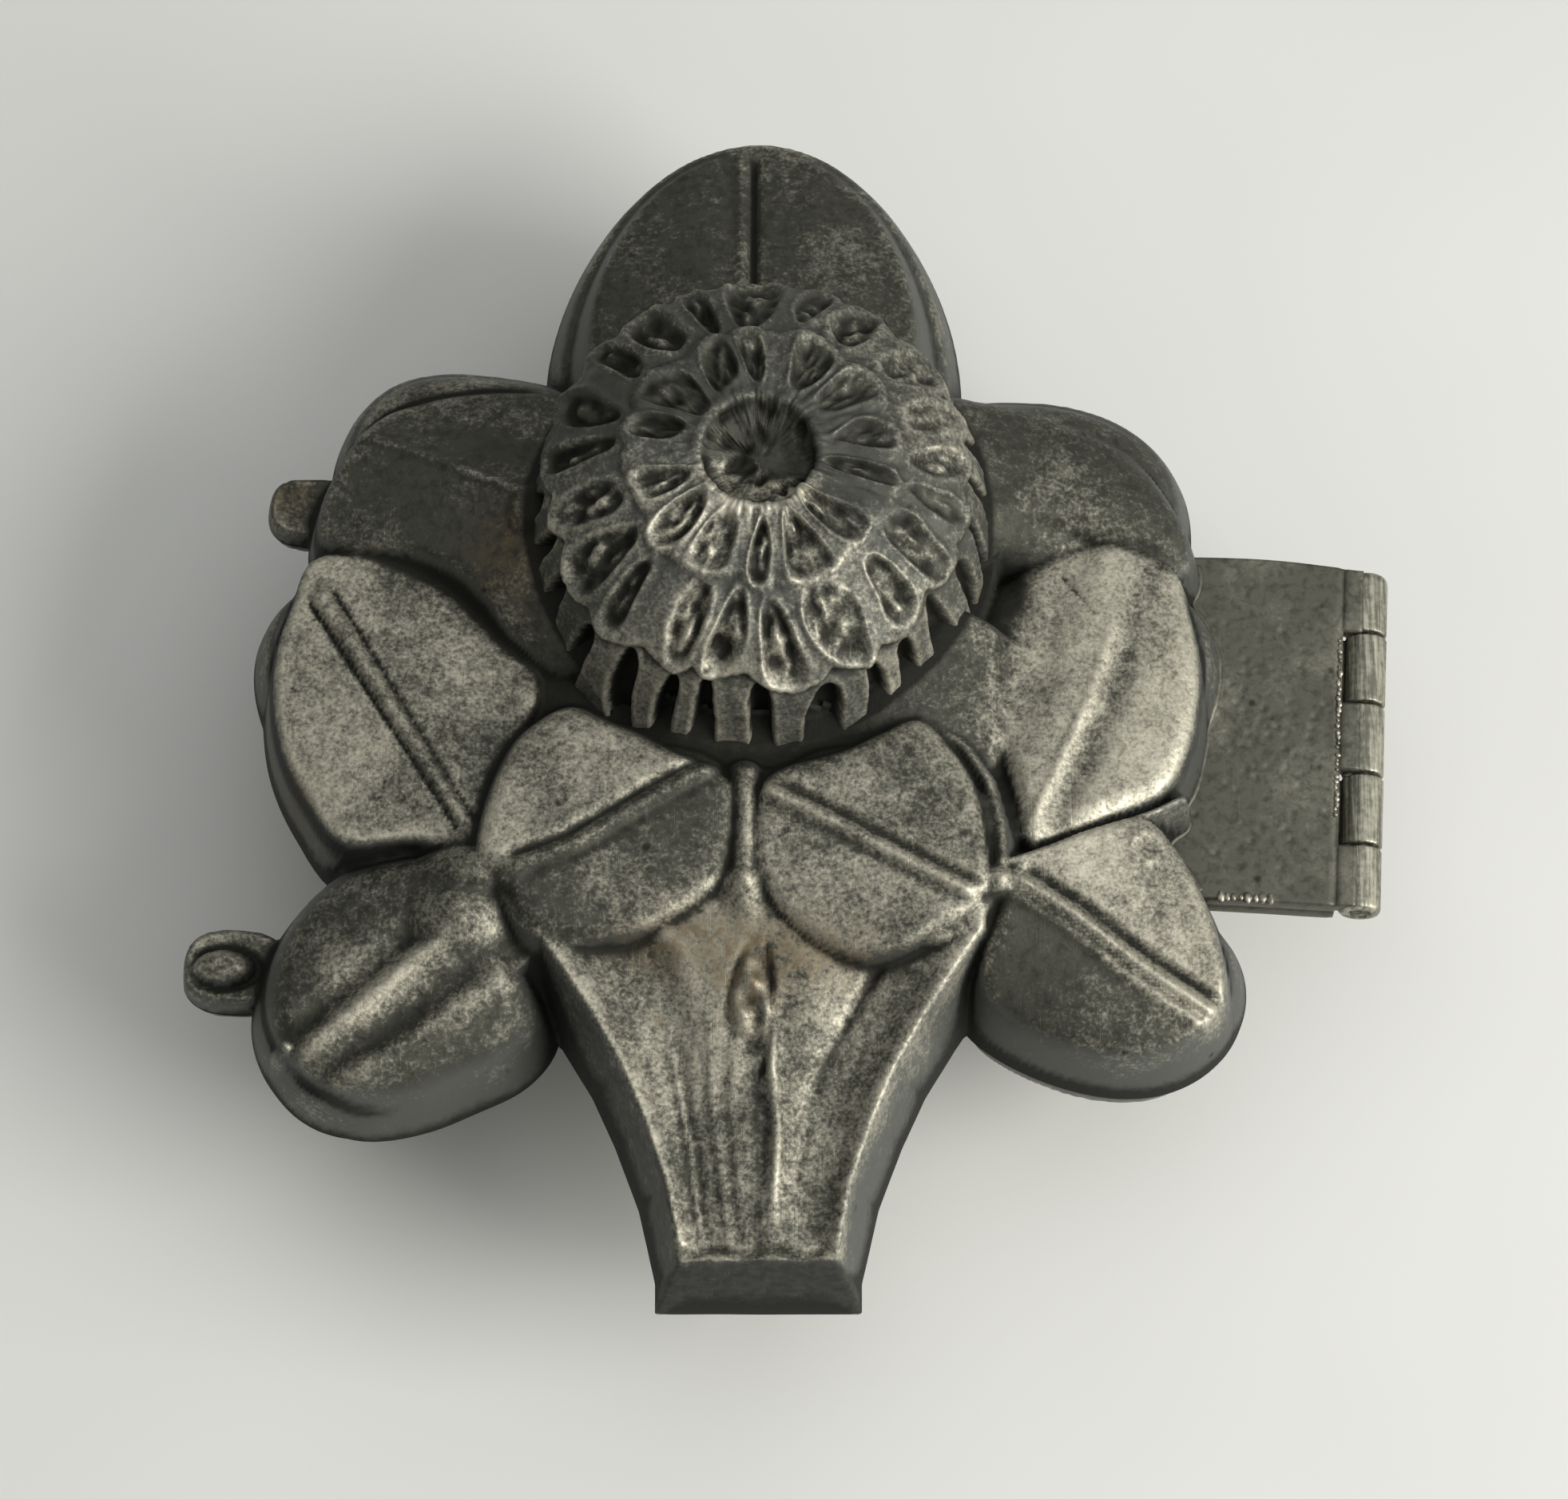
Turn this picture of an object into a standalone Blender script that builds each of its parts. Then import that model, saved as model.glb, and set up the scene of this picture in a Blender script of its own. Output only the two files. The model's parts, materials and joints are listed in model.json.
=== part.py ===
"""Hinged two-part pewter ice cream mould, shut: a flower head over leaves and a flared stem.

Metres, +Z up. The mould rests on the flat of its lower half at z = 0, and the halves meet at
z = PARTING. X runs towards the hinge and Y from the stem to the top leaf. Heights in the lists
are measured from the parting plane, upwards in the upper half and downwards in the lower.
"""

import math

import bmesh
import bpy
from mathutils import Matrix, Vector

MM = 0.001

# Driving dimensions
PARTING = 21.0 * MM
GAP = 0.3 * MM  # clearance between two pieces that touch in the real mould
WALL = 2.4 * MM
DRAFT_RUN = 2.2 * MM  # how far a side wall leans in between the rim and its shoulder
SHOULDER = 5.4 * MM  # height of the smooth band round every leaf
TOP_REACH = 55.0 * MM  # from the middle of the mould to the tip of the top leaf
STEM_REACH = 51.0 * MM  # from the middle of the mould to the blunt end of the stem
GROUND_DROP = 1.0 * MM  # how far the ground between the leaves lies below their faces
FACE_FOOT = 1.45 * MM  # how far the walls of a carved face run past the parting plane
FACE_SLOPE = 6.0  # rise of the walls of a carved face over their run

# Plateau that joins the leaves
BODY_Y = 4.0 * MM
BODY_HALF_X = 34.5 * MM
BODY_HALF_Y = 28.0 * MM

# Flower head, seen from the parting plane
FLOWER_Y = 14.0 * MM
FLOWER_LEAN = 0.11  # the head leans towards the top leaf by this much per unit of height
FLOWER_R = 20.5 * MM
FLOWER_BASE = 7.6 * MM
FLOWER_TOP = 24.0 * MM
BOWL_R = 5.2 * MM
BOWL_DEPTH = 1.9 * MM

# Rings of petals from the foot up: how many, turns of the dome at the tips and at the start,
# how far the tips stand out, depth of the hollow of a petal, and its shift round the head
PETAL_RINGS = (
    (28, 0.0, 26.0, 0.5, 2.0, 1 / 3),
    (21, 27.0, 49.0, 1.2, 1.3, 0.0),
    (14, 50.5, 71.0, 1.2, 1.2, 0.5),
)

# Back of the flower on the lower half, with the flat that the mould rests on
CALYX_Y = 6.0 * MM
CALYX_R = 26.5 * MM
REST_R = 15.0 * MM

# Hinge
HINGE_X = 54.0 * MM
HINGE_Y = -1.45 * MM
HINGE_SKEW = math.radians(3.6)
HINGE_LENGTH = 32.1 * MM
KNUCKLE_R = 1.9 * MM
END_KNUCKLE = 6.0 * MM
PIN_R = 0.9 * MM
PLATE_REACH = 22.0 * MM  # how far each plate would run in from the pin before it is cut to the shell

# Leaves: foot x, foot y, tip x, tip y, left width, right width, place of the widest point,
# fullness, height at the foot, height at the tip, depth of the midrib, all lengths in mm
UPPER_LEAVES = {
    "top": (0, 17.0, 0, TOP_REACH / MM, 17.5, 16.3, 0.38, 2.0, 14.5, 4.5, 0.8),
    "high_left": (-11.0, 19.5, -37.0, 22.6, 9.0, 10.4, 0.56, 2.7, 14.5, 9.5, 0.0),
    "high_right": (11.5, 18.5, 37.0, 17.4, 11.0, 6.4, 0.46, 2.4, 14.5, 9.0, 0.0),
    "side_left": (-24.6, -14.4, -39.4, 11.4, 8.2, 10.2, 0.60, 2.3, 11.0, 8.5, 0.7),
    "side_right": (20.8, -15.4, 35.4, 11.4, 8.4, 8.2, 0.60, 2.3, 11.0, 8.5, 0.7),
    "low_left": (-15.5, -13.6, -40.3, -32.9, 8.2, 9.1, 0.60, 2.3, 12.5, 8.0, 0.5),
    "low_right": (13.5, -16.2, 40.0, -27.5, 7.2, 7.0, 0.60, 2.3, 12.5, 8.0, 0.7),
    "mid_left": (-22.6, -18.8, -1.4, -10.4, 8.0, 8.0, 0.45, 2.3, 13.6, 14.6, 0.6),
    "mid_right": (20.8, -18.8, 1.0, -10.4, 8.0, 8.0, 0.45, 2.3, 13.6, 14.6, 0.7),
}
LOWER_LEAVES = {
    "top": (0, 17.0, 0, TOP_REACH / MM, 17.5, 16.3, 0.38, 2.0, 12.0, 4.5, 0.8),
    "high_left": (-11.0, 19.5, -37.0, 22.6, 9.0, 10.4, 0.56, 2.7, 11.5, 7.5, 0.5),
    "high_right": (11.5, 18.5, 37.0, 17.4, 11.0, 6.4, 0.46, 2.4, 11.5, 7.5, 0.5),
    "side_left": (-24.6, -14.4, -39.4, 11.4, 8.2, 10.2, 0.60, 2.3, 10.5, 7.5, 0.6),
    "side_right": (20.8, -15.4, 35.4, 11.4, 8.4, 8.2, 0.60, 2.3, 10.5, 7.5, 0.6),
    "low_left": (-15.5, -13.6, -40.3, -32.9, 8.2, 9.1, 0.60, 2.3, 11.0, 7.0, 0.6),
    "low_right": (13.5, -16.2, 40.0, -27.5, 7.2, 7.0, 0.60, 2.3, 11.0, 7.0, 0.6),
}
CROWNED = {"mid_left": 11.6 * MM, "mid_right": 11.6 * MM}  # leaves whose edge is above the band

# Cross-sections of a midrib: distance to its left and height above the face, in mm
SECTIONS = {
    "bead": ((-0.95, 0.0), (-0.75, -0.85), (-0.3, -0.15), (0.3, -0.15), (0.75, -0.85), (0.95, 0.0)),
    "valley": ((-4.6, 0.0), (-2.3, -0.25), (0.0, -0.85), (0.5, 0.0)),
    "fold": ((-2.4, 0.0), (-0.9, -1.0), (0.6, 0.35), (1.6, 0.0)),
    "ribs": ((-3.3, -0.2), (-2.7, 0.4), (-2.0, -0.2), (-1.3, 0.5), (0.0, -0.85), (0.6, 0.0)),
    "crease": ((-0.6, 0.0), (0.0, -0.95), (0.5, 0.35), (1.4, 0.4), (2.1, -0.2)),
    "crest": ((-0.8, -0.15), (0.0, 0.0), (0.8, -0.15)),
}

# Carved faces of the leaves: outline, midrib, fall for each unit left and right of the midrib,
# fall with the square of that distance, section of the midrib and its hand, lengths in mm
FACES = {
    "side_left": (
        ((-24.5, -14.6), (-30.0, -13.9), (-36.0, -14.2), (-40.6, -7.6), (-42.8, 0.0), (-41.8, 7.0),
         (-38.6, 11.8), (-32.0, 12.4), (-25.0, 8.8), (-20.0, 0.6), (-20.9, -4.6), (-22.4, -9.8)),
        ((-24.9, -13.6), (-38.9, 9.4)), 0.07, 0.12, 0.0, "bead", 1),
    "side_right": (
        ((23.4, -14.4), (31.0, -11.6), (35.3, -9.4), (38.2, -2.5), (38.8, 4.2), (36.6, 11.2),
         (30.0, 14.2), (23.4, 11.0), (19.4, 5.0), (19.8, -2.0), (22.4, -10.0)),
        ((23.4, -13.9), (27.0, -6.0), (29.2, -1.0), (32.2, 8.6)), 0.02, 0.05, 0.004, "valley", 1),
    "mid_left": (
        ((-24.0, -15.9), (-21.0, -6.0), (-16.4, -2.7), (-11.0, -5.3), (-4.4, -7.2), (-2.4, -12.5),
         (-3.6, -18.4), (-9.5, -22.5), (-17.0, -23.0), (-21.2, -19.4)),
        ((-21.8, -16.6), (-16.5, -14.6), (-10.0, -10.6), (-3.6, -6.9)), 0.015, 0.05, 0.004, "crease", -1),
    "mid_right": (
        ((19.7, -18.0), (18.6, -10.2), (14.0, -4.0), (8.0, -6.4), (2.4, -7.6), (-0.1, -13.2),
         (0.6, -18.8), (5.0, -23.6), (12.0, -24.4), (18.8, -20.4)),
        ((19.2, -19.0), (12.4, -15.5), (6.2, -12.2), (1.0, -9.6)), 0.05, 0.015, 0.004, "crease", 1),
    "low_left": (
        ((-25.4, -15.6), (-35.0, -15.0), (-41.2, -20.6), (-42.8, -26.5), (-38.4, -35.1), (-31.8, -37.2),
         (-25.0, -35.0), (-19.4, -29.4), (-22.4, -21.6)),
        ((-24.6, -20.0), (-40.2, -32.8)), 0.02, 0.05, 0.022, "fold", 1),
    "low_right": (
        ((22.2, -16.4), (29.0, -13.1), (32.8, -12.7), (38.0, -18.5), (40.4, -27.4), (37.8, -33.2),
         (31.0, -35.2), (20.8, -31.2), (18.9, -28.4), (20.6, -21.4)),
        ((22.8, -16.9), (33.0, -23.8), (39.8, -28.2)), 0.06, 0.02, 0.004, "ribs", 1),
    "high_left": (
        ((-12.0, 27.6), (-24.0, 28.6), (-33.0, 27.0), (-37.8, 21.2), (-39.3, 15.0), (-33.4, 13.3),
         (-26.6, 10.6), (-21.6, 4.8), (-12.0, 8.0)),
        ((-20.5, 17.2), (-34.5, 23.8)), 0.16, 0.34, 0.0, "crest", 1),
    "high_right": (
        ((10.0, 27.0), (20.0, 28.0), (29.8, 24.8), (35.6, 17.6), (36.8, 13.0), (33.0, 13.2),
         (26.5, 15.1), (20.5, 12.8), (12.0, 8.0)),
        ((14.0, 20.4), (36.6, 16.0)), 0.02, 0.02, 0.030, "crest", 1),
}
UPPER_FACES = {"side_left": (11.0, 9.0), "side_right": (11.4, 9.4), "mid_left": (13.5, 14.2),
               "mid_right": (13.4, 14.2), "low_left": (11.4, 8.6), "low_right": (12.2, 8.6),
               "high_left": (13.6, 10.6), "high_right": (13.2, 9.2)}  # heights at the foot and the tip
LOWER_FACES = {"side_left": (10.4, 7.8), "side_right": (10.4, 7.8), "low_left": (10.6, 7.4),
               "low_right": (10.8, 7.4), "high_left": (11.6, 8.2), "high_right": (11.4, 8.0)}

# Ears on the rim, opposite the hinge: foot and tip of each tongue, and its half width, in mm
EARS = {
    "high_ear": (-36.5, 20.4, -44.8, 20.9, 3.3),
    "low_ear": (-41.0, -23.2, -50.8, -22.8, 3.9),
}
EAR_THICK = 2.6 * MM
CONE_R = 1.5 * MM  # locating cone on the lower ears
CONE_HEIGHT = 1.7 * MM

GROUND_GRID = (8, 6)  # squares along and across the ground under a leaf's face
TOP_GRID = (12, 8)
FACE_ROWS = 9  # squares along a carved face
EASE = 0.8 * MM  # width of the rounding round a carved face
HEAD_STEPS = 84  # turns that all three rings of petals divide evenly
CALYX_STEPS = 84
CUT_REACH = 90.0 * MM  # half width and depth of the block that parts the halves


def clear_scene():
    for obj in list(bpy.data.objects):
        bpy.data.objects.remove(obj, do_unlink=True)


def new_collection(name, hidden=False):
    collection = bpy.data.collections.new(name)
    bpy.context.scene.collection.children.link(collection)
    collection.hide_render = hidden
    return collection


def pewter(name, colour, roughness):
    """A plain metal material; one for each piece."""
    material = bpy.data.materials.new(name)
    material.use_nodes = True
    shader = material.node_tree.nodes["Principled BSDF"]
    shader.inputs["Base Color"].default_value = (*colour, 1.0)
    shader.inputs["Metallic"].default_value = 1.0
    shader.inputs["Roughness"].default_value = roughness
    return material


def object_from(bm, name, collection):
    """Closes a bmesh into an object whose faces point outwards."""
    bmesh.ops.remove_doubles(bm, verts=bm.verts, dist=1e-7)
    bmesh.ops.recalc_face_normals(bm, faces=bm.faces)
    mesh = bpy.data.meshes.new(name)
    bm.to_mesh(mesh)
    bm.free()
    obj = bpy.data.objects.new(name, mesh)
    collection.objects.link(obj)
    obj.hide_render = collection.hide_render
    if collection.hide_render:
        obj.display_type = "WIRE"
    return obj


def clamp(value, low, high):
    return max(low, min(high, value))


def superellipse(u, fullness):
    return max(0.0, 1.0 - abs(u) ** fullness) ** (1.0 / fullness)


def leaf_point(leaf, t, s, grow):
    """Plan position on a leaf: t runs from foot to tip, s across it, grow widens the outline."""
    foot, tip = Vector(leaf[0:2]) * MM, Vector(leaf[2:4]) * MM
    axis = (tip - foot).normalized()
    side = Vector((-axis.y, axis.x))
    bend = math.log(0.5) / math.log(leaf[6])
    width = (leaf[4] if s > 0 else leaf[5]) * MM + grow
    along = (tip - foot).length + 2 * grow
    place = foot - axis * grow + axis * (t * along)
    return place + side * (s * width * superellipse(2 * t**bend - 1, leaf[7]))


def leaf_height(leaf, t, s, edge):
    """Height of a leaf's crown above the parting plane, with its midrib sunk along the middle."""
    bend = math.log(0.5) / math.log(leaf[6])
    u = 2 * t**bend - 1
    v = s * superellipse(u, leaf[7])
    reach = min(1.0, (abs(u) ** leaf[7] + abs(v) ** leaf[7]) ** (1 / leaf[7]))
    ridge = (leaf[8] + (leaf[9] - leaf[8]) * t) * MM
    rib = leaf[10] * MM * (1.0 if abs(s) < 0.05 else 0.0) * min(1.0, 6 * min(t, 1 - t))
    return edge + (ridge - edge) * (1 - reach**3.2) ** 0.62 - rib


def leaf_solid(name, leaf, edge, inset, foot_depth, side, collection, drop=0.0, grid=GROUND_GRID):
    """One leaf as a closed solid that runs through the parting plane.

    The inset makes its inside, and the drop lowers its crown to the ground under a carved face.
    """
    bm = bmesh.new()
    t_layer = bm.verts.layers.float.new("along")
    s_layer = bm.verts.layers.float.new("across")
    bmesh.ops.create_grid(bm, x_segments=grid[0], y_segments=grid[1], size=1.0)
    lowered = (*leaf[:8], leaf[8] - drop / MM, leaf[9] - drop / MM, 0.0) if drop else leaf
    for v in bm.verts:
        v[t_layer] = (1 - math.cos(math.pi * (v.co.x + 1) / 2)) / 2
        v[s_layer] = math.copysign(abs(v.co.y) ** 0.8, v.co.y)
        plan = leaf_point(leaf, v[t_layer], v[s_layer], -inset)
        height = leaf_height(lowered, v[t_layer], v[s_layer], edge) - inset
        v.co = (plan.x, plan.y, PARTING + side * height)
    border = [e for e in bm.edges if e.is_boundary]
    spread = bmesh.ops.extrude_edge_only(bm, edges=border)["geom"]
    run = DRAFT_RUN * (edge + foot_depth) / edge
    for v in (g for g in spread if isinstance(g, bmesh.types.BMVert)):
        plan = leaf_point(leaf, v[t_layer], v[s_layer], run - inset)
        v.co = (plan.x, plan.y, PARTING - side * foot_depth)
    bmesh.ops.remove_doubles(bm, verts=bm.verts, dist=1e-6)
    bmesh.ops.holes_fill(bm, edges=[e for e in bm.edges if e.is_boundary], sides=0)
    return object_from(bm, name, collection)


def smooth_loop(points, steps=4):
    """Closed smooth curve through the points, bending least at each (a Catmull-Rom spline)."""
    count = len(points)
    curve = []
    for k in range(count):
        a, b, c, d = (points[(k + j) % count] for j in (-1, 0, 1, 2))
        for step in range(steps):
            t = step / steps
            curve.append(0.5 * (2 * b + (c - a) * t + (2 * a - 5 * b + 4 * c - d) * t**2
                                + (3 * b - a - 3 * c + d) * t**3))
    return curve


def width_at(loop, station):
    """Right and left edge of an outline on the line across it at one station along its midrib."""
    marks = []
    for a, b in zip(loop, loop[1:] + loop[:1]):
        if (a.x > station) != (b.x > station):
            marks.append(a.y + (b.y - a.y) * (station - a.x) / (b.x - a.x))
    return min(marks), max(marks)


def height_of(points, place):
    """Height at a place on a line of (place, height) points, level beyond its ends."""
    if place <= points[0][0]:
        return points[0][1]
    for (x1, y1), (x2, y2) in zip(points, points[1:]):
        if place <= x2:
            return y1 + (y2 - y1) * (place - x1) / (x2 - x1)
    return points[-1][1]


def face_solid(name, face, heights, side, collection, clear=0.0):
    """A leaf's carved face: rows across its midrib, cut to its outline, with steep walls below."""
    outline, rib, fall_left, fall_right, bow, section, hand = face
    origin, tip = Vector(rib[0]) * MM, Vector(rib[-1]) * MM
    axis = (tip - origin).normalized()
    across = Vector((-axis.y, axis.x))
    loop = [Vector(((p - origin).dot(axis), (p - origin).dot(across)))
            for p in smooth_loop([Vector(point) * MM for point in outline])]
    rib_line = [((Vector(p) * MM - origin).dot(axis), (Vector(p) * MM - origin).dot(across)) for p in rib]
    marks = sorted((hand * offset * MM, rise * MM) for offset, rise in SECTIONS[section])
    first, last = min(p.x for p in loop), max(p.x for p in loop)
    margin = 0.01 * MM
    columns = len(marks) + 6
    bm = bmesh.new()
    inward = bm.verts.layers.float_vector.new("inward")
    bmesh.ops.create_grid(bm, x_segments=FACE_ROWS, y_segments=columns - 1, size=1.0)
    for v in bm.verts:
        share = (1 - math.cos(math.pi * (v.co.x + 1) / 2)) / 2
        station = first + margin + (last - first - 2 * margin) * share
        right, left = width_at(loop, station)
        middle = clamp(height_of(rib_line, station), right + 0.25 * (left - right), left - 0.25 * (left - right))
        to_right, to_left = middle - right, left - middle
        outer = [right, right + min(EASE, 0.3 * to_right), middle - 0.62 * to_right]
        inner = [middle + clamp(m, -0.5 * to_right, 0.5 * to_left) for m, _ in marks]
        outer_left = [middle + 0.62 * to_left, left - min(EASE, 0.3 * to_left), left]
        column = round((v.co.y + 1) / 2 * (columns - 1))
        place = (outer + inner + outer_left)[column]
        offset = place - middle
        ends = min(1.0, 7 * share, 7 * (1 - share))
        height = (heights[0] + (heights[1] - heights[0]) * clamp(station / rib_line[-1][0], -0.15, 1.15)) * MM
        height -= fall_left * max(offset, 0.0) + fall_right * max(-offset, 0.0) + bow * offset**2 / MM
        height += height_of(marks, offset) * ends if 3 <= column < columns - 3 else 0.0
        height -= 0.35 * MM if column in (0, columns - 1) or share < 0.001 or share > 0.999 else 0.0
        plan = origin + axis * station + across * place
        nearest = clamp(station, 0.15 * rib_line[-1][0], 0.85 * rib_line[-1][0])
        core = origin + axis * nearest + across * height_of(rib_line, nearest)
        v[inward] = (*(core - plan).normalized(), 0.0)
        v.co = (plan.x, plan.y, PARTING + side * height)
    bmesh.ops.remove_doubles(bm, verts=bm.verts, dist=0.02 * MM)
    spread = bmesh.ops.extrude_edge_only(bm, edges=[e for e in bm.edges if e.is_boundary])["geom"]
    for v in (g for g in spread if isinstance(g, bmesh.types.BMVert)):
        run = (side * (v.co.z - PARTING) + FACE_FOOT) / FACE_SLOPE
        v.co = v.co - v[inward] * (run + 2.5 * clear)
        v.co.z = PARTING - side * FACE_FOOT
    bmesh.ops.holes_fill(bm, edges=[e for e in bm.edges if e.is_boundary], sides=0)
    return object_from(bm, name, collection)


def turned_solid(name, profile, centre, steps, side, collection, shape=None, lean=0.0):
    """A profile of (radius, height) pairs turned by a Screw. The shape then moves each point."""
    points = [(0.0, profile[-1][1])] + profile[::-1] + [(0.0, profile[0][1])]
    outline = bpy.data.meshes.new(name + "_profile")
    outline.from_pydata([(r, 0.0, z) for r, z in points], [(i, i + 1) for i in range(len(points) - 1)], [])
    turned = bpy.data.objects.new(name, outline)
    collection.objects.link(turned)
    turned.hide_render = collection.hide_render
    screw = turned.modifiers.new("Turn", "SCREW")
    screw.steps = screw.render_steps = steps
    screw.use_merge_vertices = True
    screw.merge_threshold = 0.00001
    apply_modifiers(turned)
    bm = bmesh.new()
    bm.from_mesh(turned.data)
    bpy.data.objects.remove(turned, do_unlink=True)
    for v in bm.verts:
        radius, height = math.hypot(v.co.x, v.co.y), v.co.z
        angle = math.atan2(v.co.y, v.co.x)
        if shape and radius > 0.1 * MM:
            radius, height = shape(angle, radius, height)
        v.co = (
            centre[0] + radius * math.cos(angle),
            centre[1] + radius * math.sin(angle) + lean * (height - profile[0][1]),
            PARTING + side * height,
        )
    return object_from(bm, name, collection)


def dome_point(turn, inset=0.0):
    """Radius and height of the head's smooth dome, from its foot at 0 degrees to its top at 90."""
    angle = math.radians(turn)
    radius = FLOWER_R - inset
    return (BOWL_R + (radius - BOWL_R) * math.cos(angle) ** 0.9,
            FLOWER_BASE + (FLOWER_TOP - FLOWER_BASE) * math.sin(angle) ** 0.85 - inset)


def petal_rows():
    """Rows of the petals from the foot up: ring, place from its start (0) to its tips (1), turn."""
    rows = []
    for ring, (_, tips, start, *_) in enumerate(PETAL_RINGS):
        rows += [(ring, place, tips + (start - tips) * (1 - place)) for place in (1.0, 0.55, 0.0)]
    return rows


def flower_profile(inset, depth):
    """Half section of the flower head: rings of petals round a shallow bowl."""
    if inset:
        clear = PETAL_RINGS[0][4] * 0.65 * MM  # keeps the wall whole behind the slots of the lowest ring
        radius = FLOWER_R - inset - clear
        steps = [(radius + 0.3 * MM, -depth), (radius, FLOWER_BASE - inset)]
        for turn in (14, 27, 40, 53, 66, 78):
            r, z = dome_point(turn, inset)
            steps.append((r - clear * max(0.0, 1 - turn / 45), z))
        under = FLOWER_TOP - BOWL_DEPTH - 0.7 * WALL
        return steps + [(BOWL_R, under), (BOWL_R * 0.5, under)]
    steps = [(FLOWER_R + DRAFT_RUN, -depth)] + [dome_point(turn) for _, _, turn in petal_rows()]
    return steps + [(BOWL_R, FLOWER_TOP), (BOWL_R * 0.8, FLOWER_TOP - BOWL_DEPTH * 0.6),
                    (BOWL_R * 0.4, FLOWER_TOP - BOWL_DEPTH)]


def petalled(angle, radius, height):
    """Moves a point of the dome in or out to make hollow petals with ribs between them."""
    ring, place, turn = min(petal_rows(), key=lambda row: math.dist(dome_point(row[2]), (radius, height)))
    if math.dist(dome_point(turn), (radius, height)) > 0.01 * MM:
        return radius, height
    count, _, _, stand, hollow, shift = PETAL_RINGS[ring]
    turns = count * (angle / (2 * math.pi) + 0.25) + shift
    from_rib = 1 - abs(2 * (turns - math.floor(turns + 1e-4)) - 1)
    sunk = hollow * min(1.0, 1.6 * from_rib) * {1.0: 0.25, 0.55: 1.0, 0.0: 0.35}[place]
    relief = (stand * place * (0.35 + 0.65 * min(1.0, 2 * from_rib)) - sunk) * MM
    length = math.hypot(radius, height - FLOWER_BASE)
    return radius * (1 + relief / length), height + (height - FLOWER_BASE) * relief / length


def sepals(angle, radius, height):
    """Twelve shallow hollows round the back of the flower, none on the flat."""
    share = clamp((radius - REST_R) / (CALYX_R - REST_R), 0.0, 1.0)
    return radius * (1 - 0.05 * share * (1 - share) * 4 * (0.5 - 0.5 * math.cos(12 * angle))), height


def calyx_profile(inset, depth):
    """Half section of the back of the flower, ending in the flat that the mould rests on."""
    steps = [(CALYX_R + 1.5 * MM - inset, -depth), (CALYX_R - inset, 7.0 * MM - inset)]
    for share, height in ((0.955, 11.0), (0.86, 16.0), (0.76, 19.2)):
        steps.append((CALYX_R * share - inset, height * MM - inset))
    steps.append((REST_R - inset * 0.5, PARTING - inset))
    return steps


def stem_stations():
    """Place and half width of the stem's cross-sections in mm, from under the leaves to its blunt end."""
    neck = -22.6
    root = [(-8.0, 15.0), (-17.5, 19.5), (neck, 19.4)]
    taper = ((0.12, 17.0), (0.26, 14.4), (0.42, 11.8), (0.58, 9.9), (0.77, 8.0), (1.0, 6.7))
    return root + [(neck - share * (STEM_REACH / MM + neck), half) for share, half in taper]


def stem_solid(name, inset, height_root, height_end, foot_depth, side, collection):
    """The flared stem: a lofted bar with drafted sides, a blunt end and a ridge along the top."""
    bm = bmesh.new()
    stations = stem_stations()
    shares = (-1.0, -0.62, -0.2, 0.0, 0.2, 0.62, 1.0)
    bmesh.ops.create_grid(bm, x_segments=len(stations) - 1, y_segments=len(shares) - 1, size=1.0)
    rows, columns = len(stations) - 1, len(shares) - 1
    place = {}
    for v in bm.verts:
        row, column = round((v.co.x + 1) / 2 * rows), round((v.co.y + 1) / 2 * columns)
        y, half = stations[row][0] * MM, stations[row][1] * MM - inset
        if row == rows:
            y += inset
        share = shares[column]
        fall = max(0.0, (y / MM + 22.0) / (stations[-1][0] + 22.0))
        height = height_root + (height_end - height_root) * fall - inset
        ridge = 0.7 * MM if share == 0.0 else 0.0
        hollow = 0.9 * MM * (1 - fall) if abs(share) == 0.62 else 0.0
        v.co = (share * half, y, PARTING + side * (height + ridge - hollow))
        place[v] = (half, y, share, row)
    outer = [e for e in bm.edges if e.is_boundary]
    before = {v: data for v, data in place.items() if any(e.is_boundary for e in v.link_edges)}
    spread = bmesh.ops.extrude_edge_only(bm, edges=outer)["geom"]
    run = DRAFT_RUN * (height_end + foot_depth) / height_end
    for v in (g for g in spread if isinstance(g, bmesh.types.BMVert)):
        half, y, share, row = min(
            before.items(), key=lambda item: (item[0].co - v.co).length
        )[1]
        end = -run * 1.2 if row == rows else 0.0
        v.co = (share * (half + run), y + end, PARTING - side * foot_depth)
    bmesh.ops.holes_fill(bm, edges=[e for e in bm.edges if e.is_boundary], sides=0)
    return object_from(bm, name, collection)


def body_solid(name, inset, height, foot_depth, side, collection):
    """The low plateau that joins the leaves, seen only in the valleys between them."""
    profile = [(1.0, -foot_depth), (0.985, height * 0.7 - inset), (0.93, height - inset)]
    obj = turned_solid(name, profile, (0, 0), 36, side, collection)
    for v in obj.data.vertices:
        v.co.x = v.co.x * (BODY_HALF_X - inset)
        v.co.y = v.co.y * (BODY_HALF_Y - inset) + BODY_Y
    return obj


def box(name, low, high, collection):
    bm = bmesh.new()
    size = Vector(high) - Vector(low)
    middle = (Vector(high) + Vector(low)) / 2
    bmesh.ops.create_cube(bm, size=1.0, matrix=Matrix.Translation(middle) @ Matrix.Diagonal((*size, 1)))
    return object_from(bm, name, collection)


def cone(name, x, y, z_low, z_high, r_low, r_high, collection, segments=24):
    bm = bmesh.new()
    bmesh.ops.create_cone(
        bm, cap_ends=True, segments=segments, radius1=r_low, radius2=r_high, depth=z_high - z_low,
        matrix=Matrix.Translation((x, y, (z_low + z_high) / 2)),
    )
    return object_from(bm, name, collection)


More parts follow.
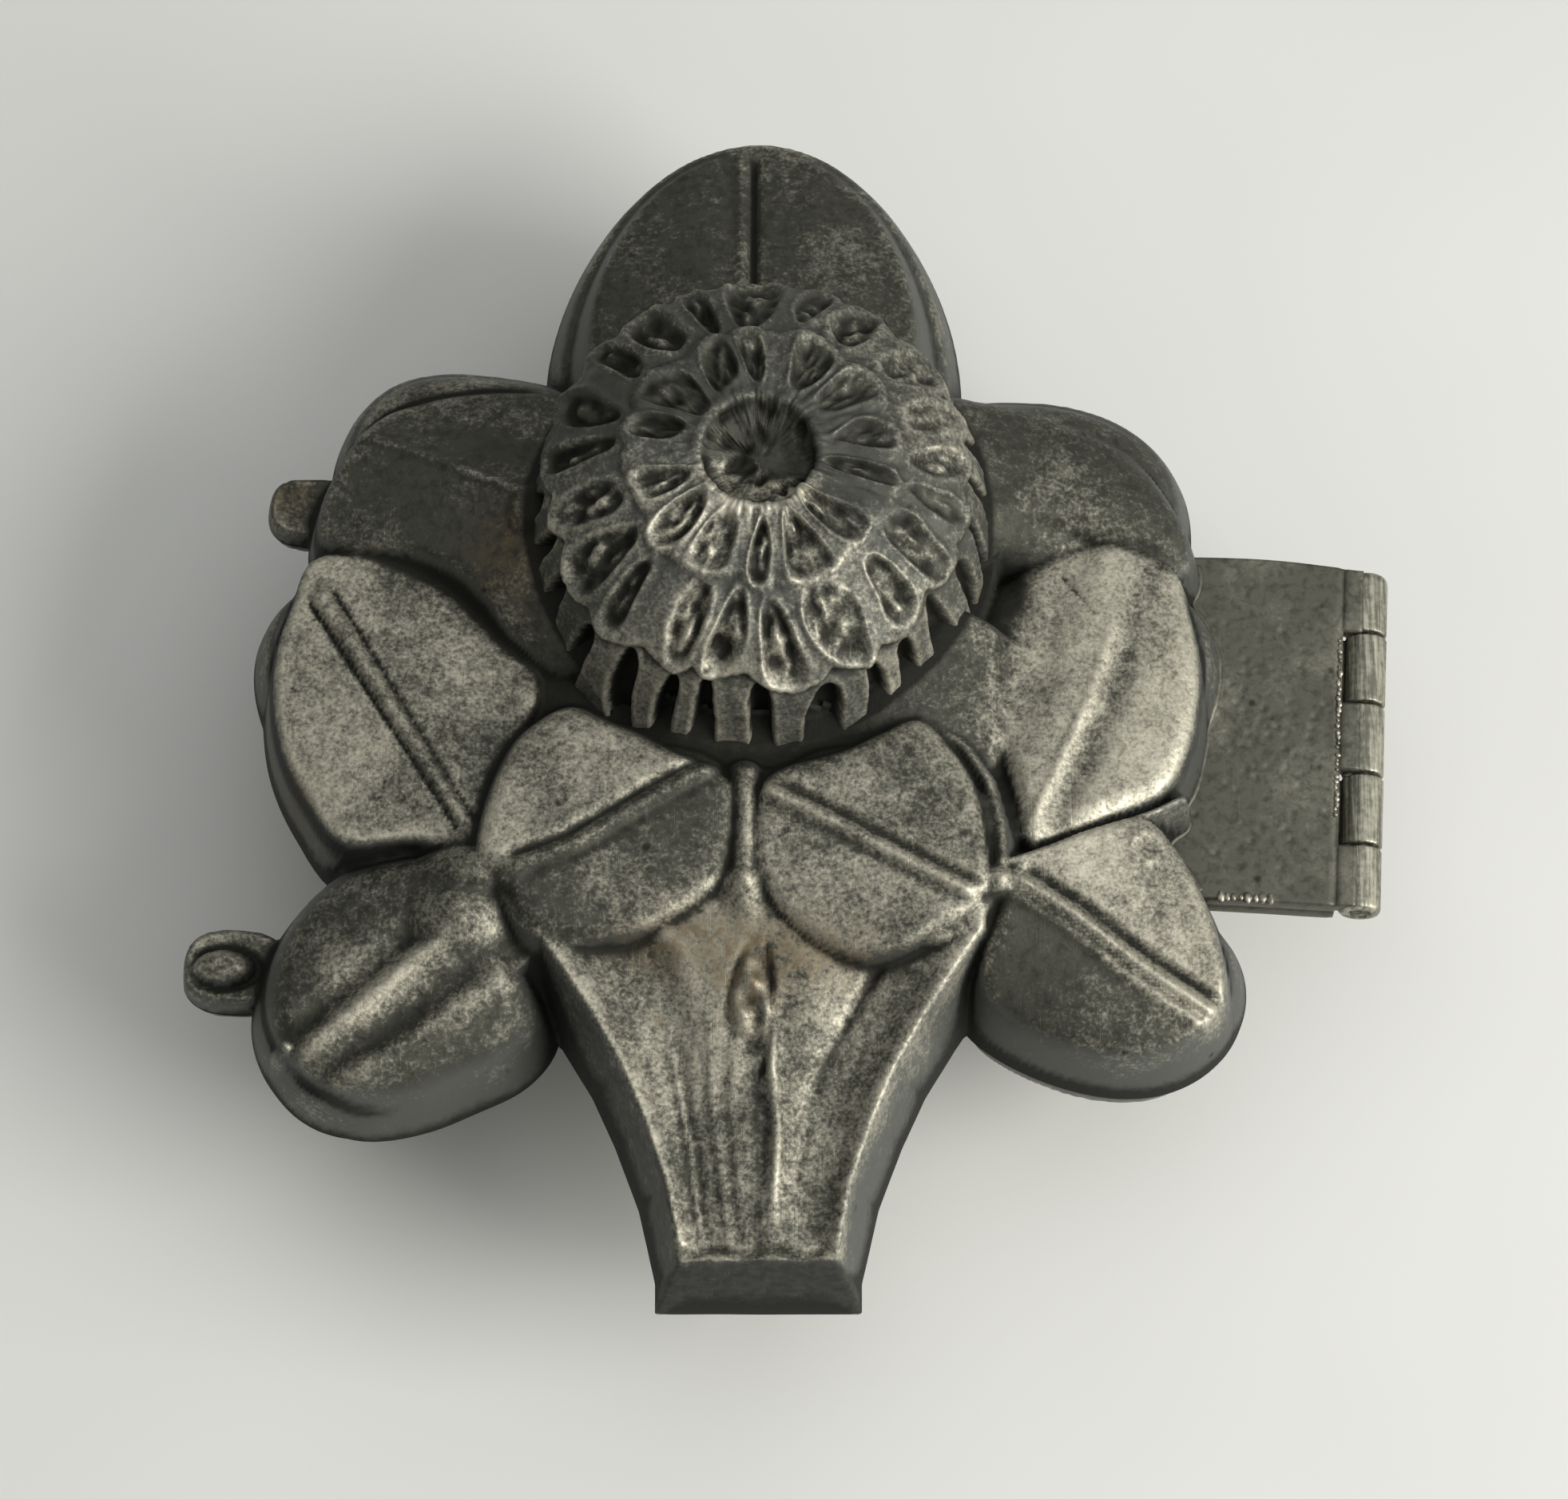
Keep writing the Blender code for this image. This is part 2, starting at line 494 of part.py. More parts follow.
def boolean(obj, operation, operand, solver="EXACT"):
    """Adds a Boolean with one object or with a whole collection."""
    modifier = obj.modifiers.new(operation.title(), "BOOLEAN")
    modifier.solver = solver
    modifier.operation = operation
    if isinstance(operand, bpy.types.Collection):
        modifier.operand_type = "COLLECTION"
        modifier.collection = operand
    else:
        modifier.object = operand
    return modifier


def apply_modifiers(obj):
    """Replaces the mesh by its evaluated one, so that later Booleans read a plain mesh."""
    bpy.context.view_layer.update()
    graph = bpy.context.evaluated_depsgraph_get()
    mesh = bpy.data.meshes.new_from_object(obj.evaluated_get(graph))
    obj.modifiers.clear()
    obj.data = mesh


def dress(obj, finish):
    """Gives a piece its material, and smooth shading with crisp edges."""
    obj.data.materials.clear()
    obj.data.materials.append(finish)
    obj.data.shade_smooth()
    obj.data.set_sharp_from_angle(angle=math.radians(35))


def ear(name, spec, side, collection):
    """A tongue on the rim with an eased top edge."""
    foot, tip, half = spec[0:2], spec[2:4], spec[4]
    leaf = (*foot, *tip, half, half, 0.5, 2.6, EAR_THICK / MM, EAR_THICK / MM, 0.0)
    bm = bmesh.new()
    t_layer = bm.verts.layers.float.new("along")
    bmesh.ops.create_circle(bm, segments=28, radius=1.0, cap_ends=True)
    for v in bm.verts:
        t = (1 + v.co.x) / 2
        plan = leaf_point(leaf, t, math.copysign(1.0, v.co.y) if abs(v.co.y) > 1e-6 else 0.0, 0.0)
        v[t_layer] = t
        v.co = (plan.x, plan.y, PARTING - side * EAR_THICK / 2)
    top = bmesh.ops.extrude_face_region(bm, geom=list(bm.faces))["geom"]
    for v in (g for g in top if isinstance(g, bmesh.types.BMVert)):
        v.co.z = PARTING + side * EAR_THICK
        v.co.x += 0.5 * MM * (v[t_layer] > 0.5)
    return object_from(bm, name, collection)


def half(name, leaves, faces, side, collection, cutters, finish):
    """One half shell: the leaves, head and stem joined, hollowed, and cut at the parting plane."""
    outside = new_collection(name + "_outside", hidden=True)
    inside = new_collection(name + "_inside", hidden=True)
    upper = side > 0
    shell = body_solid(name, 0.0, SHOULDER + 0.8 * MM, 2.0 * MM, side, collection)
    body_solid(name + "_hollow", WALL, SHOULDER + 0.8 * MM, 4.0 * MM, side, inside)
    for number, (key, leaf) in enumerate(leaves.items()):
        edge = CROWNED.get(key, SHOULDER)
        depth = (2.05 + 0.07 * number) * MM
        drop, grid = (GROUND_DROP, GROUND_GRID) if key in faces else (0.0, TOP_GRID)
        leaf_solid(f"{name}_{key}", leaf, edge, 0.0, depth, side, outside, drop, grid)
        leaf_solid(f"{name}_{key}_hollow", leaf, edge, WALL, depth + 2 * MM, side, inside)
    for key, heights in faces.items():
        face_solid(f"{name}_{key}_face", FACES[key], heights, side, outside)
    if upper:
        head = ("head", flower_profile, (0, FLOWER_Y), HEAD_STEPS, petalled, FLOWER_LEAN)
    else:
        head = ("calyx", calyx_profile, (0, CALYX_Y), CALYX_STEPS, sepals, 0.0)
    key, profile, centre, steps, shape, lean = head
    turned_solid(f"{name}_{key}", profile(0.0, 2.9 * MM), centre, steps, side, outside, shape, lean)
    turned_solid(f"{name}_{key}_hollow", profile(WALL, 5.1 * MM), centre, steps // 2, side, inside, None, lean)
    root, end = (11.6 * MM, 8.4 * MM) if upper else (9.6 * MM, 7.6 * MM)
    stem_solid(f"{name}_stem", 0.0, root, end, 3.1 * MM, side, outside)
    stem_solid(f"{name}_stem_hollow", WALL, root, end, 5.4 * MM, side, inside)
    for key, spec in EARS.items():
        ear(f"{name}_{key}", spec, side, outside)
    # EXACT leaves open edges where this many leaves meet, so the shell uses the other solver.
    boolean(shell, "UNION", outside, "MANIFOLD")
    apply_modifiers(shell)
    boolean(shell, "DIFFERENCE", inside, "MANIFOLD")
    apply_modifiers(shell)
    level = PARTING + side * GAP / 2
    low, high = (level - CUT_REACH, level) if upper else (level, level + CUT_REACH)
    below = box(name + "_plane", (-CUT_REACH, -CUT_REACH, low), (CUT_REACH, CUT_REACH, high), cutters)
    boolean(shell, "DIFFERENCE", below, "MANIFOLD")
    apply_modifiers(shell)
    x, y = (EARS["low_ear"][0] + EARS["low_ear"][2]) / 2 * MM - 1.3 * MM, EARS["low_ear"][1] * MM + 0.3 * MM
    if upper:
        boss = cone(name + "_boss", x, y, PARTING + 1.2 * MM, PARTING + EAR_THICK + 1.3 * MM,
                    CONE_R + 1.5 * MM, CONE_R + 0.5 * MM, cutters)
        socket = cone(name + "_socket", x, y, PARTING - 1 * MM, PARTING + CONE_HEIGHT + GAP,
                      CONE_R + GAP, CONE_R * 0.6 + GAP, cutters)
        boolean(shell, "UNION", boss, "MANIFOLD")
        boolean(shell, "DIFFERENCE", socket, "MANIFOLD")
    else:
        peg = cone(name + "_cone", x, y, PARTING - 1.4 * MM, PARTING + CONE_HEIGHT - GAP,
                   CONE_R, CONE_R * 0.6, cutters)
        boolean(shell, "UNION", peg, "MANIFOLD")
    apply_modifiers(shell)
    dress(shell, finish)
    return shell


def hinge_matrix():
    """The hinge's own frame: Y along the pin, X out from the mould, origin mid-pin."""
    return Matrix.Translation((HINGE_X, HINGE_Y, PARTING)) @ Matrix.Rotation(-HINGE_SKEW, 4, "Z")


def hinge_box(name, low, high, collection):
    obj = box(name, low, high, collection)
    obj.data.transform(hinge_matrix())
    return obj


def hinge_rod(name, radius, y_low, y_high, collection, segments=28):
    bm = bmesh.new()
    turn = Matrix.Translation((0, (y_low + y_high) / 2, 0)) @ Matrix.Rotation(math.pi / 2, 4, "X")
    bmesh.ops.create_cone(bm, cap_ends=True, segments=segments, radius1=radius, radius2=radius,
                          depth=y_high - y_low, matrix=hinge_matrix() @ turn)
    return object_from(bm, name, collection)


def knuckle_spans():
    """The five knuckles from the stem end to the top end, as (start, end) along the pin."""
    inner = (HINGE_LENGTH - 2 * END_KNUCKLE) / 3
    marks = [-HINGE_LENGTH / 2, -HINGE_LENGTH / 2 + END_KNUCKLE]
    marks += [marks[1] + inner, marks[1] + 2 * inner, HINGE_LENGTH / 2 - END_KNUCKLE, HINGE_LENGTH / 2]
    return list(zip(marks, marks[1:]))


def hinge_leaf(name, leaves, faces, side, mine, collection, finish):
    """A hinge plate with its knuckles, cut to the shell that it is soldered to."""
    extra = new_collection(name + "_knuckles", hidden=True)
    gaps = new_collection(name + "_cuts", hidden=True)
    low, high = sorted((side * GAP / 2, side * KNUCKLE_R))
    half_length = HINGE_LENGTH / 2
    plate = hinge_box(name, (-PLATE_REACH, -half_length, low),
                      (-KNUCKLE_R - GAP, half_length, high), collection)
    for number, (start, end) in enumerate(knuckle_spans()):
        if number in mine:
            a, b = start + GAP / 2 * (number > 0), end - GAP / 2 * (number < 4)
            arm_low, arm_high = sorted((side * (KNUCKLE_R - 1.5 * MM), side * (KNUCKLE_R - 0.06 * MM)))
            hinge_box(f"{name}_arm_{number}", (-KNUCKLE_R - 2 * GAP, a + 0.07 * MM, arm_low),
                      (-0.13 * MM, b - 0.07 * MM, arm_high), extra)
            hinge_rod(f"{name}_knuckle_{number}", KNUCKLE_R, a, b, extra)
        else:
            a, b = start - GAP / 2, end + GAP / 2
            hinge_rod(f"{name}_space_{number}", KNUCKLE_R + GAP, a, b, gaps)
    hinge_rod(f"{name}_bore", PIN_R + GAP, -half_length - 2 * MM, half_length + 2 * MM, gaps, 24)
    for number, (key, leaf) in enumerate(leaves.items()):
        if key in ("high_right", "side_right", "low_right"):
            leaf_solid(f"{name}_{key}_clear", leaf, SHOULDER, -GAP, (2.3 + 0.1 * number) * MM, side, gaps,
                       grid=GROUND_GRID)
            face_solid(f"{name}_{key}_face_clear", FACES[key], faces[key], side, gaps, GAP)
    body_solid(name + "_body_clear", -GAP, SHOULDER, 2.2 * MM, side, gaps)
    boolean(plate, "UNION", extra, "MANIFOLD")
    apply_modifiers(plate)
    boolean(plate, "DIFFERENCE", gaps, "MANIFOLD")
    apply_modifiers(plate)
    dress(plate, finish)
    return plate


def hinge_pin(collection, finish):
    """A plain rod with eased ends, flush with the end knuckles."""
    pin = hinge_rod("hinge_pin", PIN_R, -HINGE_LENGTH / 2, HINGE_LENGTH / 2, collection, 24)
    ease = pin.modifiers.new("Ends", "BEVEL")
    ease.width = 0.25 * MM
    ease.limit_method = "ANGLE"
    ease.angle_limit = math.radians(50)
    ease.segments = 1
    dress(pin, finish)
    return pin


def put_origin(obj, point):
    """Moves an object's origin without moving its mesh."""
    obj.data.transform(Matrix.Translation(-Vector(point)))
    obj.location = point


def main():
    clear_scene()
    mould = new_collection("ice_cream_mould")
    cutters = new_collection("cutters", hidden=True)
    grey = pewter("tarnished_pewter", (0.23, 0.23, 0.21), 0.5)
    plate_grey = pewter("hinge_plate_pewter", (0.27, 0.27, 0.25), 0.45)
    wire = pewter("pin_wire", (0.32, 0.30, 0.27), 0.4)
    upper = half("upper_half", UPPER_LEAVES, UPPER_FACES, 1, mould, cutters, grey)
    half("lower_half", LOWER_LEAVES, LOWER_FACES, -1, mould, cutters, grey)
    top_plate = hinge_leaf("upper_hinge_leaf", UPPER_LEAVES, UPPER_FACES, 1, (0, 2, 4), mould, plate_grey)
    hinge_leaf("lower_hinge_leaf", LOWER_LEAVES, LOWER_FACES, -1, (1, 3), mould, plate_grey)
    pin = hinge_pin(mould, wire)
    for obj in (upper, top_plate, pin):
        put_origin(obj, (HINGE_X, HINGE_Y, PARTING))


main()
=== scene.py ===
"""Looks of the hinged pewter ice cream mould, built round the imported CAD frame.

The two half shells are relief surfaces: plan grids whose heights come from the leaves, the flower
head and the stem, closed by a rim on the parting plane and a smooth hollow. The flower head has a
finer skin of its own. Lengths are in millimetres until a mesh is made, and then in metres.
"""

import json
import logging
import math
from dataclasses import dataclass, field, replace
from enum import Enum
from typing import Callable, Iterable, Sequence

import bmesh
import bpy
import numpy as np
from mathutils import Matrix, Vector

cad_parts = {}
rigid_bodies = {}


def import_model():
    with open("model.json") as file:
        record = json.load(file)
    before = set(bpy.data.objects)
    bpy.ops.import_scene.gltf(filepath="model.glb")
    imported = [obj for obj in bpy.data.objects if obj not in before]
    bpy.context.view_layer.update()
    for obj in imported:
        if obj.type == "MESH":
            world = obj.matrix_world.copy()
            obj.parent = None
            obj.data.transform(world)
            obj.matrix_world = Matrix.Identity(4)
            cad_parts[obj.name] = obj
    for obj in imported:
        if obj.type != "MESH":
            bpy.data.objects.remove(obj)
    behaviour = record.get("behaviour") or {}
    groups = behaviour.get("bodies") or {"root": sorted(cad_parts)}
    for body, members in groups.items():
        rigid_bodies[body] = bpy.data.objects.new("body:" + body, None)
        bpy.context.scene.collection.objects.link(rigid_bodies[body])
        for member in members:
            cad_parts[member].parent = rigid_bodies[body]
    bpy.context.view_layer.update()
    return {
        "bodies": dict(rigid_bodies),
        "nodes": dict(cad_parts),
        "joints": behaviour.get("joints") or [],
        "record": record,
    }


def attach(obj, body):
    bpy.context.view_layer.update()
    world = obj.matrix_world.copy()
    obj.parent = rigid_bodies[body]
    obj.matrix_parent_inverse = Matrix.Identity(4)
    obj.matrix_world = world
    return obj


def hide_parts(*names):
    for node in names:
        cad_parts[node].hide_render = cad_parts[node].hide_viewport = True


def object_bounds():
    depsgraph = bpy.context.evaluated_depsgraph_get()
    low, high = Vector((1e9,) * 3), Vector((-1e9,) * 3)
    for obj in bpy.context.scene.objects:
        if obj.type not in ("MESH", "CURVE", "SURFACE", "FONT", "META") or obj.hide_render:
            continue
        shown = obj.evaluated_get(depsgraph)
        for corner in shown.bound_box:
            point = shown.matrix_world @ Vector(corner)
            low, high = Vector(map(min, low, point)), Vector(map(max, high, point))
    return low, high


LOG = logging.getLogger("ice_cream_mould")

Array = np.ndarray
MM = 0.001

# Sizes shared with the CAD source
PARTING = 21.0
CLIP = 0.15  # each rim stands this far off the parting plane
WALL = 2.4
LEAST_WALL = 1.2
DRAFT_RUN = 2.2
SHOULDER = 5.4
FLOWER_Y = 14.0
FLOWER_LEAN = 0.11
FLOWER_R = 20.5
FLOWER_BASE = 7.6
FLOWER_TOP = 24.0
FLOWER_FOOT = -2.9
SKIN_FOOT = 7.7  # the fine skin of the head ends in the shell's wall
SKIN_BED = 2.3  # how far inside the dome the shell under the skin lies
UNDER_INSET = 2.7  # and how far the underside of the skin
BOWL_R = 5.2
BOWL_DEPTH = 1.9
GROUND_DROP = 1.0  # ground between the faces, below the crowns of the leaves
PLATEAU_RADII = (34.5, 28.0)
PLATEAU_Y = 4.0
CALYX_Y = 6.0
CALYX_R = 26.5
REST_R = 15.0
HINGE_X = 54.0
HINGE_Y = -1.45
HINGE_SKEW = math.radians(3.6)
HINGE_LENGTH = 32.1
KNUCKLE_R = 1.9
END_KNUCKLE = 6.0
PIN_R = 0.9
GAP = 0.3
EAR_THICK = 2.6
CONE_R = 1.5
CONE_HEIGHT = 1.7
CONE_TAPER = 0.66  # radius near the top, as a share of the foot's

REACH_X = (-50.60, 56.80)  # the visual's outermost vertices, inside the CAD's box
REACH_Y = (-53.60, 57.10)
OUTER_STEP = 0.30
INNER_STEP = 0.46
PLAN_LOW = (-55.0, -56.5)
PLAN_HIGH = (47.0, 59.5)

PHOTO_SIZE = (1963, 1876)
PIXELS_PER_MM = 14.0  # in the photograph, at the parting plane
CAMERA_TARGET = (2.2, -2.0, PARTING)
CAMERA_DISTANCE = 0.440  # metres
CAMERA_ELEVATION = 70.0


class Side(Enum):
    """Which half a surface belongs to; the value is its direction from the parting plane."""

    UPPER = 1
    LOWER = -1


class Form(Enum):
    """How a leaf is carved inside its smooth outer band."""

    ROOF = "roof"
    DOME = "dome"
    RIBBED_PANEL = "ribbed panel"
    VALLEY_PANEL = "valley panel"
    CUSHION = "cushion"
    RIBBED_CUSHION = "ribbed cushion"
    MIDDLE = "middle"


@dataclass(frozen=True)
class Leaf:
    """A leaf's plan and its heights above the parting plane, in millimetres.

    Args:
        foot: Plan position of the inner end.
        tip: Plan position of the outer end.
        left: Half width on the left of the line from foot to tip.
        right: Half width on the right.
        widest: Place of the widest point, as a share of the length.
        fullness: Exponent of the superellipse that gives the outline.
        foot_z: Height of the crown at the foot.
        tip_z: Height of the crown at the tip.
    """

    foot: tuple[float, float]
    tip: tuple[float, float]
    left: float
    right: float
    widest: float
    fullness: float
    foot_z: float
    tip_z: float


Points = tuple[tuple[float, float], ...]


@dataclass(frozen=True)
class Face:
    """The carved top of one leaf, inside its smooth outer band.

    Args:
        outline: Points round its edge, joined by a smooth curve.
        rib: Foot and tip of its midrib.
        heights: Height of the midrib at its foot and its tip.
        rolls: Fall for each millimetre away from the midrib, on its left and on its right.
        bow: Fall that grows with the square of that distance.
        ease: How far in from the edge it starts to round off.
        drop: How much it has fallen at its edge.
        steep: Slope of the wall outside the edge.
        form: How it is carved.
        wear: How far its tarnish is rubbed off, from 0 to 1.
    """

    outline: Points
    rib: Points
    heights: tuple[float, float]
    rolls: tuple[float, float]
    bow: float
    ease: float
    drop: float
    steep: float
    form: Form
    wear: float


FACES: dict[str, Face] = {
    "side_left": Face(
        ((-24.5, -14.6), (-30.0, -13.9), (-36.0, -14.2), (-39.6, -9.8), (-41.9, -5.0), (-42.8, 0.0), (-42.6, 4.4),
         (-41.4, 8.6), (-39.6, 12.9), (-34.0, 14.2), (-28.2, 13.2), (-24.0, 10.0), (-20.8, 5.4), (-19.4, 0.6),
         (-20.9, -4.6), (-22.4, -9.8)),
        ((-24.9, -13.6), (-38.9, 9.4)), (11.0, 9.0), (0.07, 0.12), 0.0, 0.9, 0.35, 5.0, Form.RIBBED_PANEL, 0.39),
    "side_right": Face(
        ((23.4, -14.4), (27.0, -13.3), (31.0, -11.6), (35.3, -9.4), (37.7, -5.0), (38.7, 0.0), (38.8, 4.2),
         (38.0, 8.2), (37.0, 11.8), (34.2, 13.8), (30.0, 14.8), (26.0, 13.8), (22.8, 11.2), (20.4, 9.4), (19.4, 5.0),
         (19.6, 0.0), (20.8, -4.6), (22.4, -10.0)),
        ((23.4, -13.9), (27.0, -6.0), (29.2, -1.0), (32.2, 8.6)), (11.4, 9.4), (0.02, 0.05), 0.006, 1.8, 0.7, 4.5,
        Form.VALLEY_PANEL, 0.50),
    "mid_left": Face(
        ((-24.0, -15.9), (-22.9, -10.3), (-21.0, -6.0), (-18.9, -3.9), (-16.4, -2.7), (-14.0, -3.9), (-11.0, -5.3),
         (-7.5, -7.2), (-4.4, -8.4), (-2.5, -10.0), (-2.4, -12.5), (-2.7, -15.5), (-3.6, -18.4), (-6.2, -20.7),
         (-9.5, -22.5), (-13.0, -23.4), (-17.0, -23.0), (-19.9, -21.6), (-21.2, -19.4), (-22.8, -17.6)),
        ((-21.8, -16.6), (-16.5, -14.6), (-10.0, -10.6), (-3.6, -6.9)), (13.5, 14.2), (0.015, 0.05), 0.006, 1.2, 0.4,
        2.6, Form.MIDDLE, 0.33),
    "mid_right": Face(
        ((19.7, -18.0), (19.4, -14.2), (18.6, -10.2), (16.8, -6.9), (14.0, -4.0), (11.0, -5.2), (8.0, -6.8),
         (5.0, -7.8), (2.4, -8.7), (0.5, -10.2), (-0.1, -13.2), (-0.2, -16.6), (0.6, -18.8), (2.3, -21.4),
         (5.0, -23.6), (8.5, -24.8), (12.0, -24.4), (16.0, -22.5), (18.8, -20.4)),
        ((19.2, -19.0), (12.4, -15.5), (6.2, -12.2), (1.0, -9.6)), (13.4, 14.2), (0.05, 0.015), 0.006, 1.2, 0.4, 2.6,
        Form.MIDDLE, 0.30),
    "low_left": Face(
        ((-25.4, -15.6), (-30.0, -14.7), (-35.0, -15.0), (-38.6, -17.2), (-41.2, -20.6), (-42.6, -24.5),
         (-42.6, -28.6), (-41.0, -32.2), (-38.2, -34.9), (-34.2, -36.6), (-29.6, -36.2), (-25.0, -34.4),
         (-21.2, -32.4), (-19.4, -29.4), (-20.4, -25.6), (-22.4, -21.6), (-24.2, -18.4)),
        ((-24.6, -20.0), (-30.0, -24.6), (-35.0, -28.8), (-40.2, -32.8)), (11.4, 8.6), (0.02, 0.05), 0.022, 2.6, 2.0,
        3.0, Form.CUSHION, 0.2),
    "low_right": Face(
        ((22.2, -16.4), (25.0, -15.0), (29.0, -13.1), (33.4, -11.9), (36.0, -14.2), (38.4, -18.5), (39.8, -23.0),
         (40.3, -27.0), (39.5, -29.4), (37.2, -31.5), (34.0, -32.8), (30.0, -32.9), (25.4, -31.7), (21.4, -29.6),
         (19.2, -27.2), (19.4, -24.2), (20.6, -21.4), (21.4, -18.6)),
        ((22.8, -16.9), (28.0, -20.0), (33.0, -23.8), (39.8, -28.2)), (12.2, 8.6), (0.06, 0.02), 0.004, 0.9, 0.45,
        4.5, Form.RIBBED_CUSHION, 0.4),
    "high_left": Face(
        ((-12.0, 27.6), (-19.0, 28.3), (-24.0, 28.6), (-29.0, 28.2), (-33.0, 27.0), (-35.7, 24.4), (-37.8, 21.2),
         (-39.2, 17.8), (-39.3, 15.0), (-37.0, 13.8), (-33.4, 13.3), (-29.8, 12.4), (-26.6, 10.6), (-24.0, 8.0),
         (-21.6, 4.8), (-17.0, 1.6), (-10.0, 4.0)),
        ((-20.5, 17.2), (-34.5, 23.8)), (13.6, 10.6), (0.16, 0.34), 0.0, 0.9, 0.5, 5.0, Form.ROOF, -0.15),
    "high_right": Face(
        ((10.0, 27.0), (16.0, 28.0), (20.0, 28.0), (25.4, 27.4), (30.6, 25.4), (34.4, 22.0), (37.0, 18.0),
         (38.4, 14.6), (38.2, 12.0), (35.6, 11.9), (33.0, 13.2), (30.0, 14.5), (26.5, 15.1), (23.5, 14.6),
         (20.5, 12.8), (12.0, 8.0)),
        ((14.0, 20.4), (36.6, 16.0)), (13.2, 9.2), (0.02, 0.02), 0.030, 2.6, 1.2, 5.0, Form.DOME, 0.07),
}

UPPER_LEAVES: dict[str, Leaf] = {
    "top": Leaf((0, 17.0), (0, 55.0), 17.5, 16.3, 0.38, 2.0, 14.5, 5.2),
    "high_left": Leaf((-11, 19.5), (-37, 22.6), 9.0, 10.4, 0.56, 2.7, 14.5, 9.5),
    "high_right": Leaf((11.5, 18.5), (37, 17.4), 11.0, 6.4, 0.46, 2.4, 14.0, 8.6),
    "side_left": Leaf((-24.6, -14.4), (-39.4, 11.4), 8.2, 10.2, 0.60, 2.3, 11.4, 9.0),
    "side_right": Leaf((20.8, -15.4), (35.4, 11.4), 8.4, 8.2, 0.60, 2.3, 11.6, 9.2),
    "low_left": Leaf((-15.5, -13.6), (-40.3, -32.9), 8.2, 9.1, 0.60, 2.3, 13.0, 8.6),
    "low_right": Leaf((13.5, -16.2), (40.0, -27.5), 7.2, 7.0, 0.60, 2.3, 12.6, 8.4),
    "mid_left": Leaf((-22.6, -18.8), (-1.4, -10.4), 8.0, 8.0, 0.45, 2.3, 13.4, 14.2),
    "mid_right": Leaf((20.8, -18.8), (1.0, -10.4), 8.0, 8.0, 0.45, 2.3, 13.4, 14.2),
}
LOWER_LEAVES: dict[str, Leaf] = {
    name: replace(UPPER_LEAVES[name], foot_z=foot_z, tip_z=tip_z) for name, foot_z, tip_z in (
        ("top", 12.0, 4.9), ("high_left", 11.5, 7.5), ("high_right", 11.5, 7.5), ("side_left", 10.5, 7.5),
        ("side_right", 10.5, 7.5), ("low_left", 11.0, 7.0), ("low_right", 11.0, 7.0))
}
EARS: dict[str, Leaf] = {
    "high_ear": Leaf((-36.5, 20.4), (-44.8, 20.9), 3.3, 3.3, 0.5, 2.6, EAR_THICK, EAR_THICK),
    "low_ear": Leaf((-41.0, -23.2), (-50.8, -22.8), 3.9, 3.9, 0.5, 2.6, EAR_THICK, EAR_THICK),
}
EAR_WEAR = {"high_ear": 0.1, "low_ear": 0.2}

# Distance from the mould's middle and half width of the stem's top edge
STEM_STATIONS = ((-8.0, 15.0), (-17.5, 19.5), (-22.6, 19.4), (-26.0, 17.0), (-30.0, 14.4), (-34.5, 11.8),
                 (-39.0, 9.9), (-44.5, 8.0), (-51.0, 6.7))
STEM_TOP = -8.0  # where it starts, under the leaves
STEM_ROOT = -22.0  # where it starts to fall
STEM_END = -51.0
STEM_CREASE = ((10.6, -22.5), (10.2, -25.8), (8.0, -29.8), (5.8, -33.8), (4.0, -39.0), (3.3, -43.9))
STEM_FOLD = ((-9.0, -21.8), (-6.8, -24.4), (-5.8, -28.5), (-5.4, -31.0))


# Small field tools


def smooth_min(a: Array, b: Array, radius: float) -> Array:
    """Lower of two fields, blended over a radius in millimetres of height."""
    share = np.clip(0.5 + 0.5 * (b - a) / radius, 0.0, 1.0)
    return b * (1 - share) + a * share - radius * share * (1 - share)


def smooth_max(a: Array, b: Array, radius: float) -> Array:
    """Higher of two fields, blended over a radius in millimetres of height."""
    return -smooth_min(-a, -b, radius)


def smooth_step(value: Array, low: float, high: float) -> Array:
    """Cubic step from 0 at low to 1 at high."""
    share = np.clip((value - low) / (high - low), 0.0, 1.0)
    return share * share * (3 - 2 * share)


def hill(value: Array, centre: float, width: float) -> Array:
    """Bell curve of unit height round a centre."""
    return np.exp(-(((value - centre) / width) ** 2))


def ramp(value: Array, points: Sequence[tuple[float, float]]) -> Array:
    """Line through the points, carried on at its end slopes."""
    xs, zs = np.array(points, float).T
    inside = np.interp(value, xs, zs)
    first = (zs[1] - zs[0]) / (xs[1] - xs[0])
    last = (zs[-1] - zs[-2]) / (xs[-1] - xs[-2])
    inside = np.where(value < xs[0], zs[0] + (value - xs[0]) * first, inside)
    return np.where(value > xs[-1], zs[-1] + (value - xs[-1]) * last, inside)


def blur(values: Array, sigma: float) -> Array:
    """Gaussian blur, sigma in cells, on a field carried on by its edge values."""
    pad = int(4 * sigma) + 1
    padded = np.pad(values, pad, mode="edge")
    fx = np.fft.fftfreq(padded.shape[0])[:, None]
    fy = np.fft.rfftfreq(padded.shape[1])[None, :]
    kernel = np.exp(-2 * (math.pi * sigma) ** 2 * (fx**2 + fy**2))
    soft = np.fft.irfft2(np.fft.rfft2(padded) * kernel, s=padded.shape)
    return soft[pad:-pad, pad:-pad]


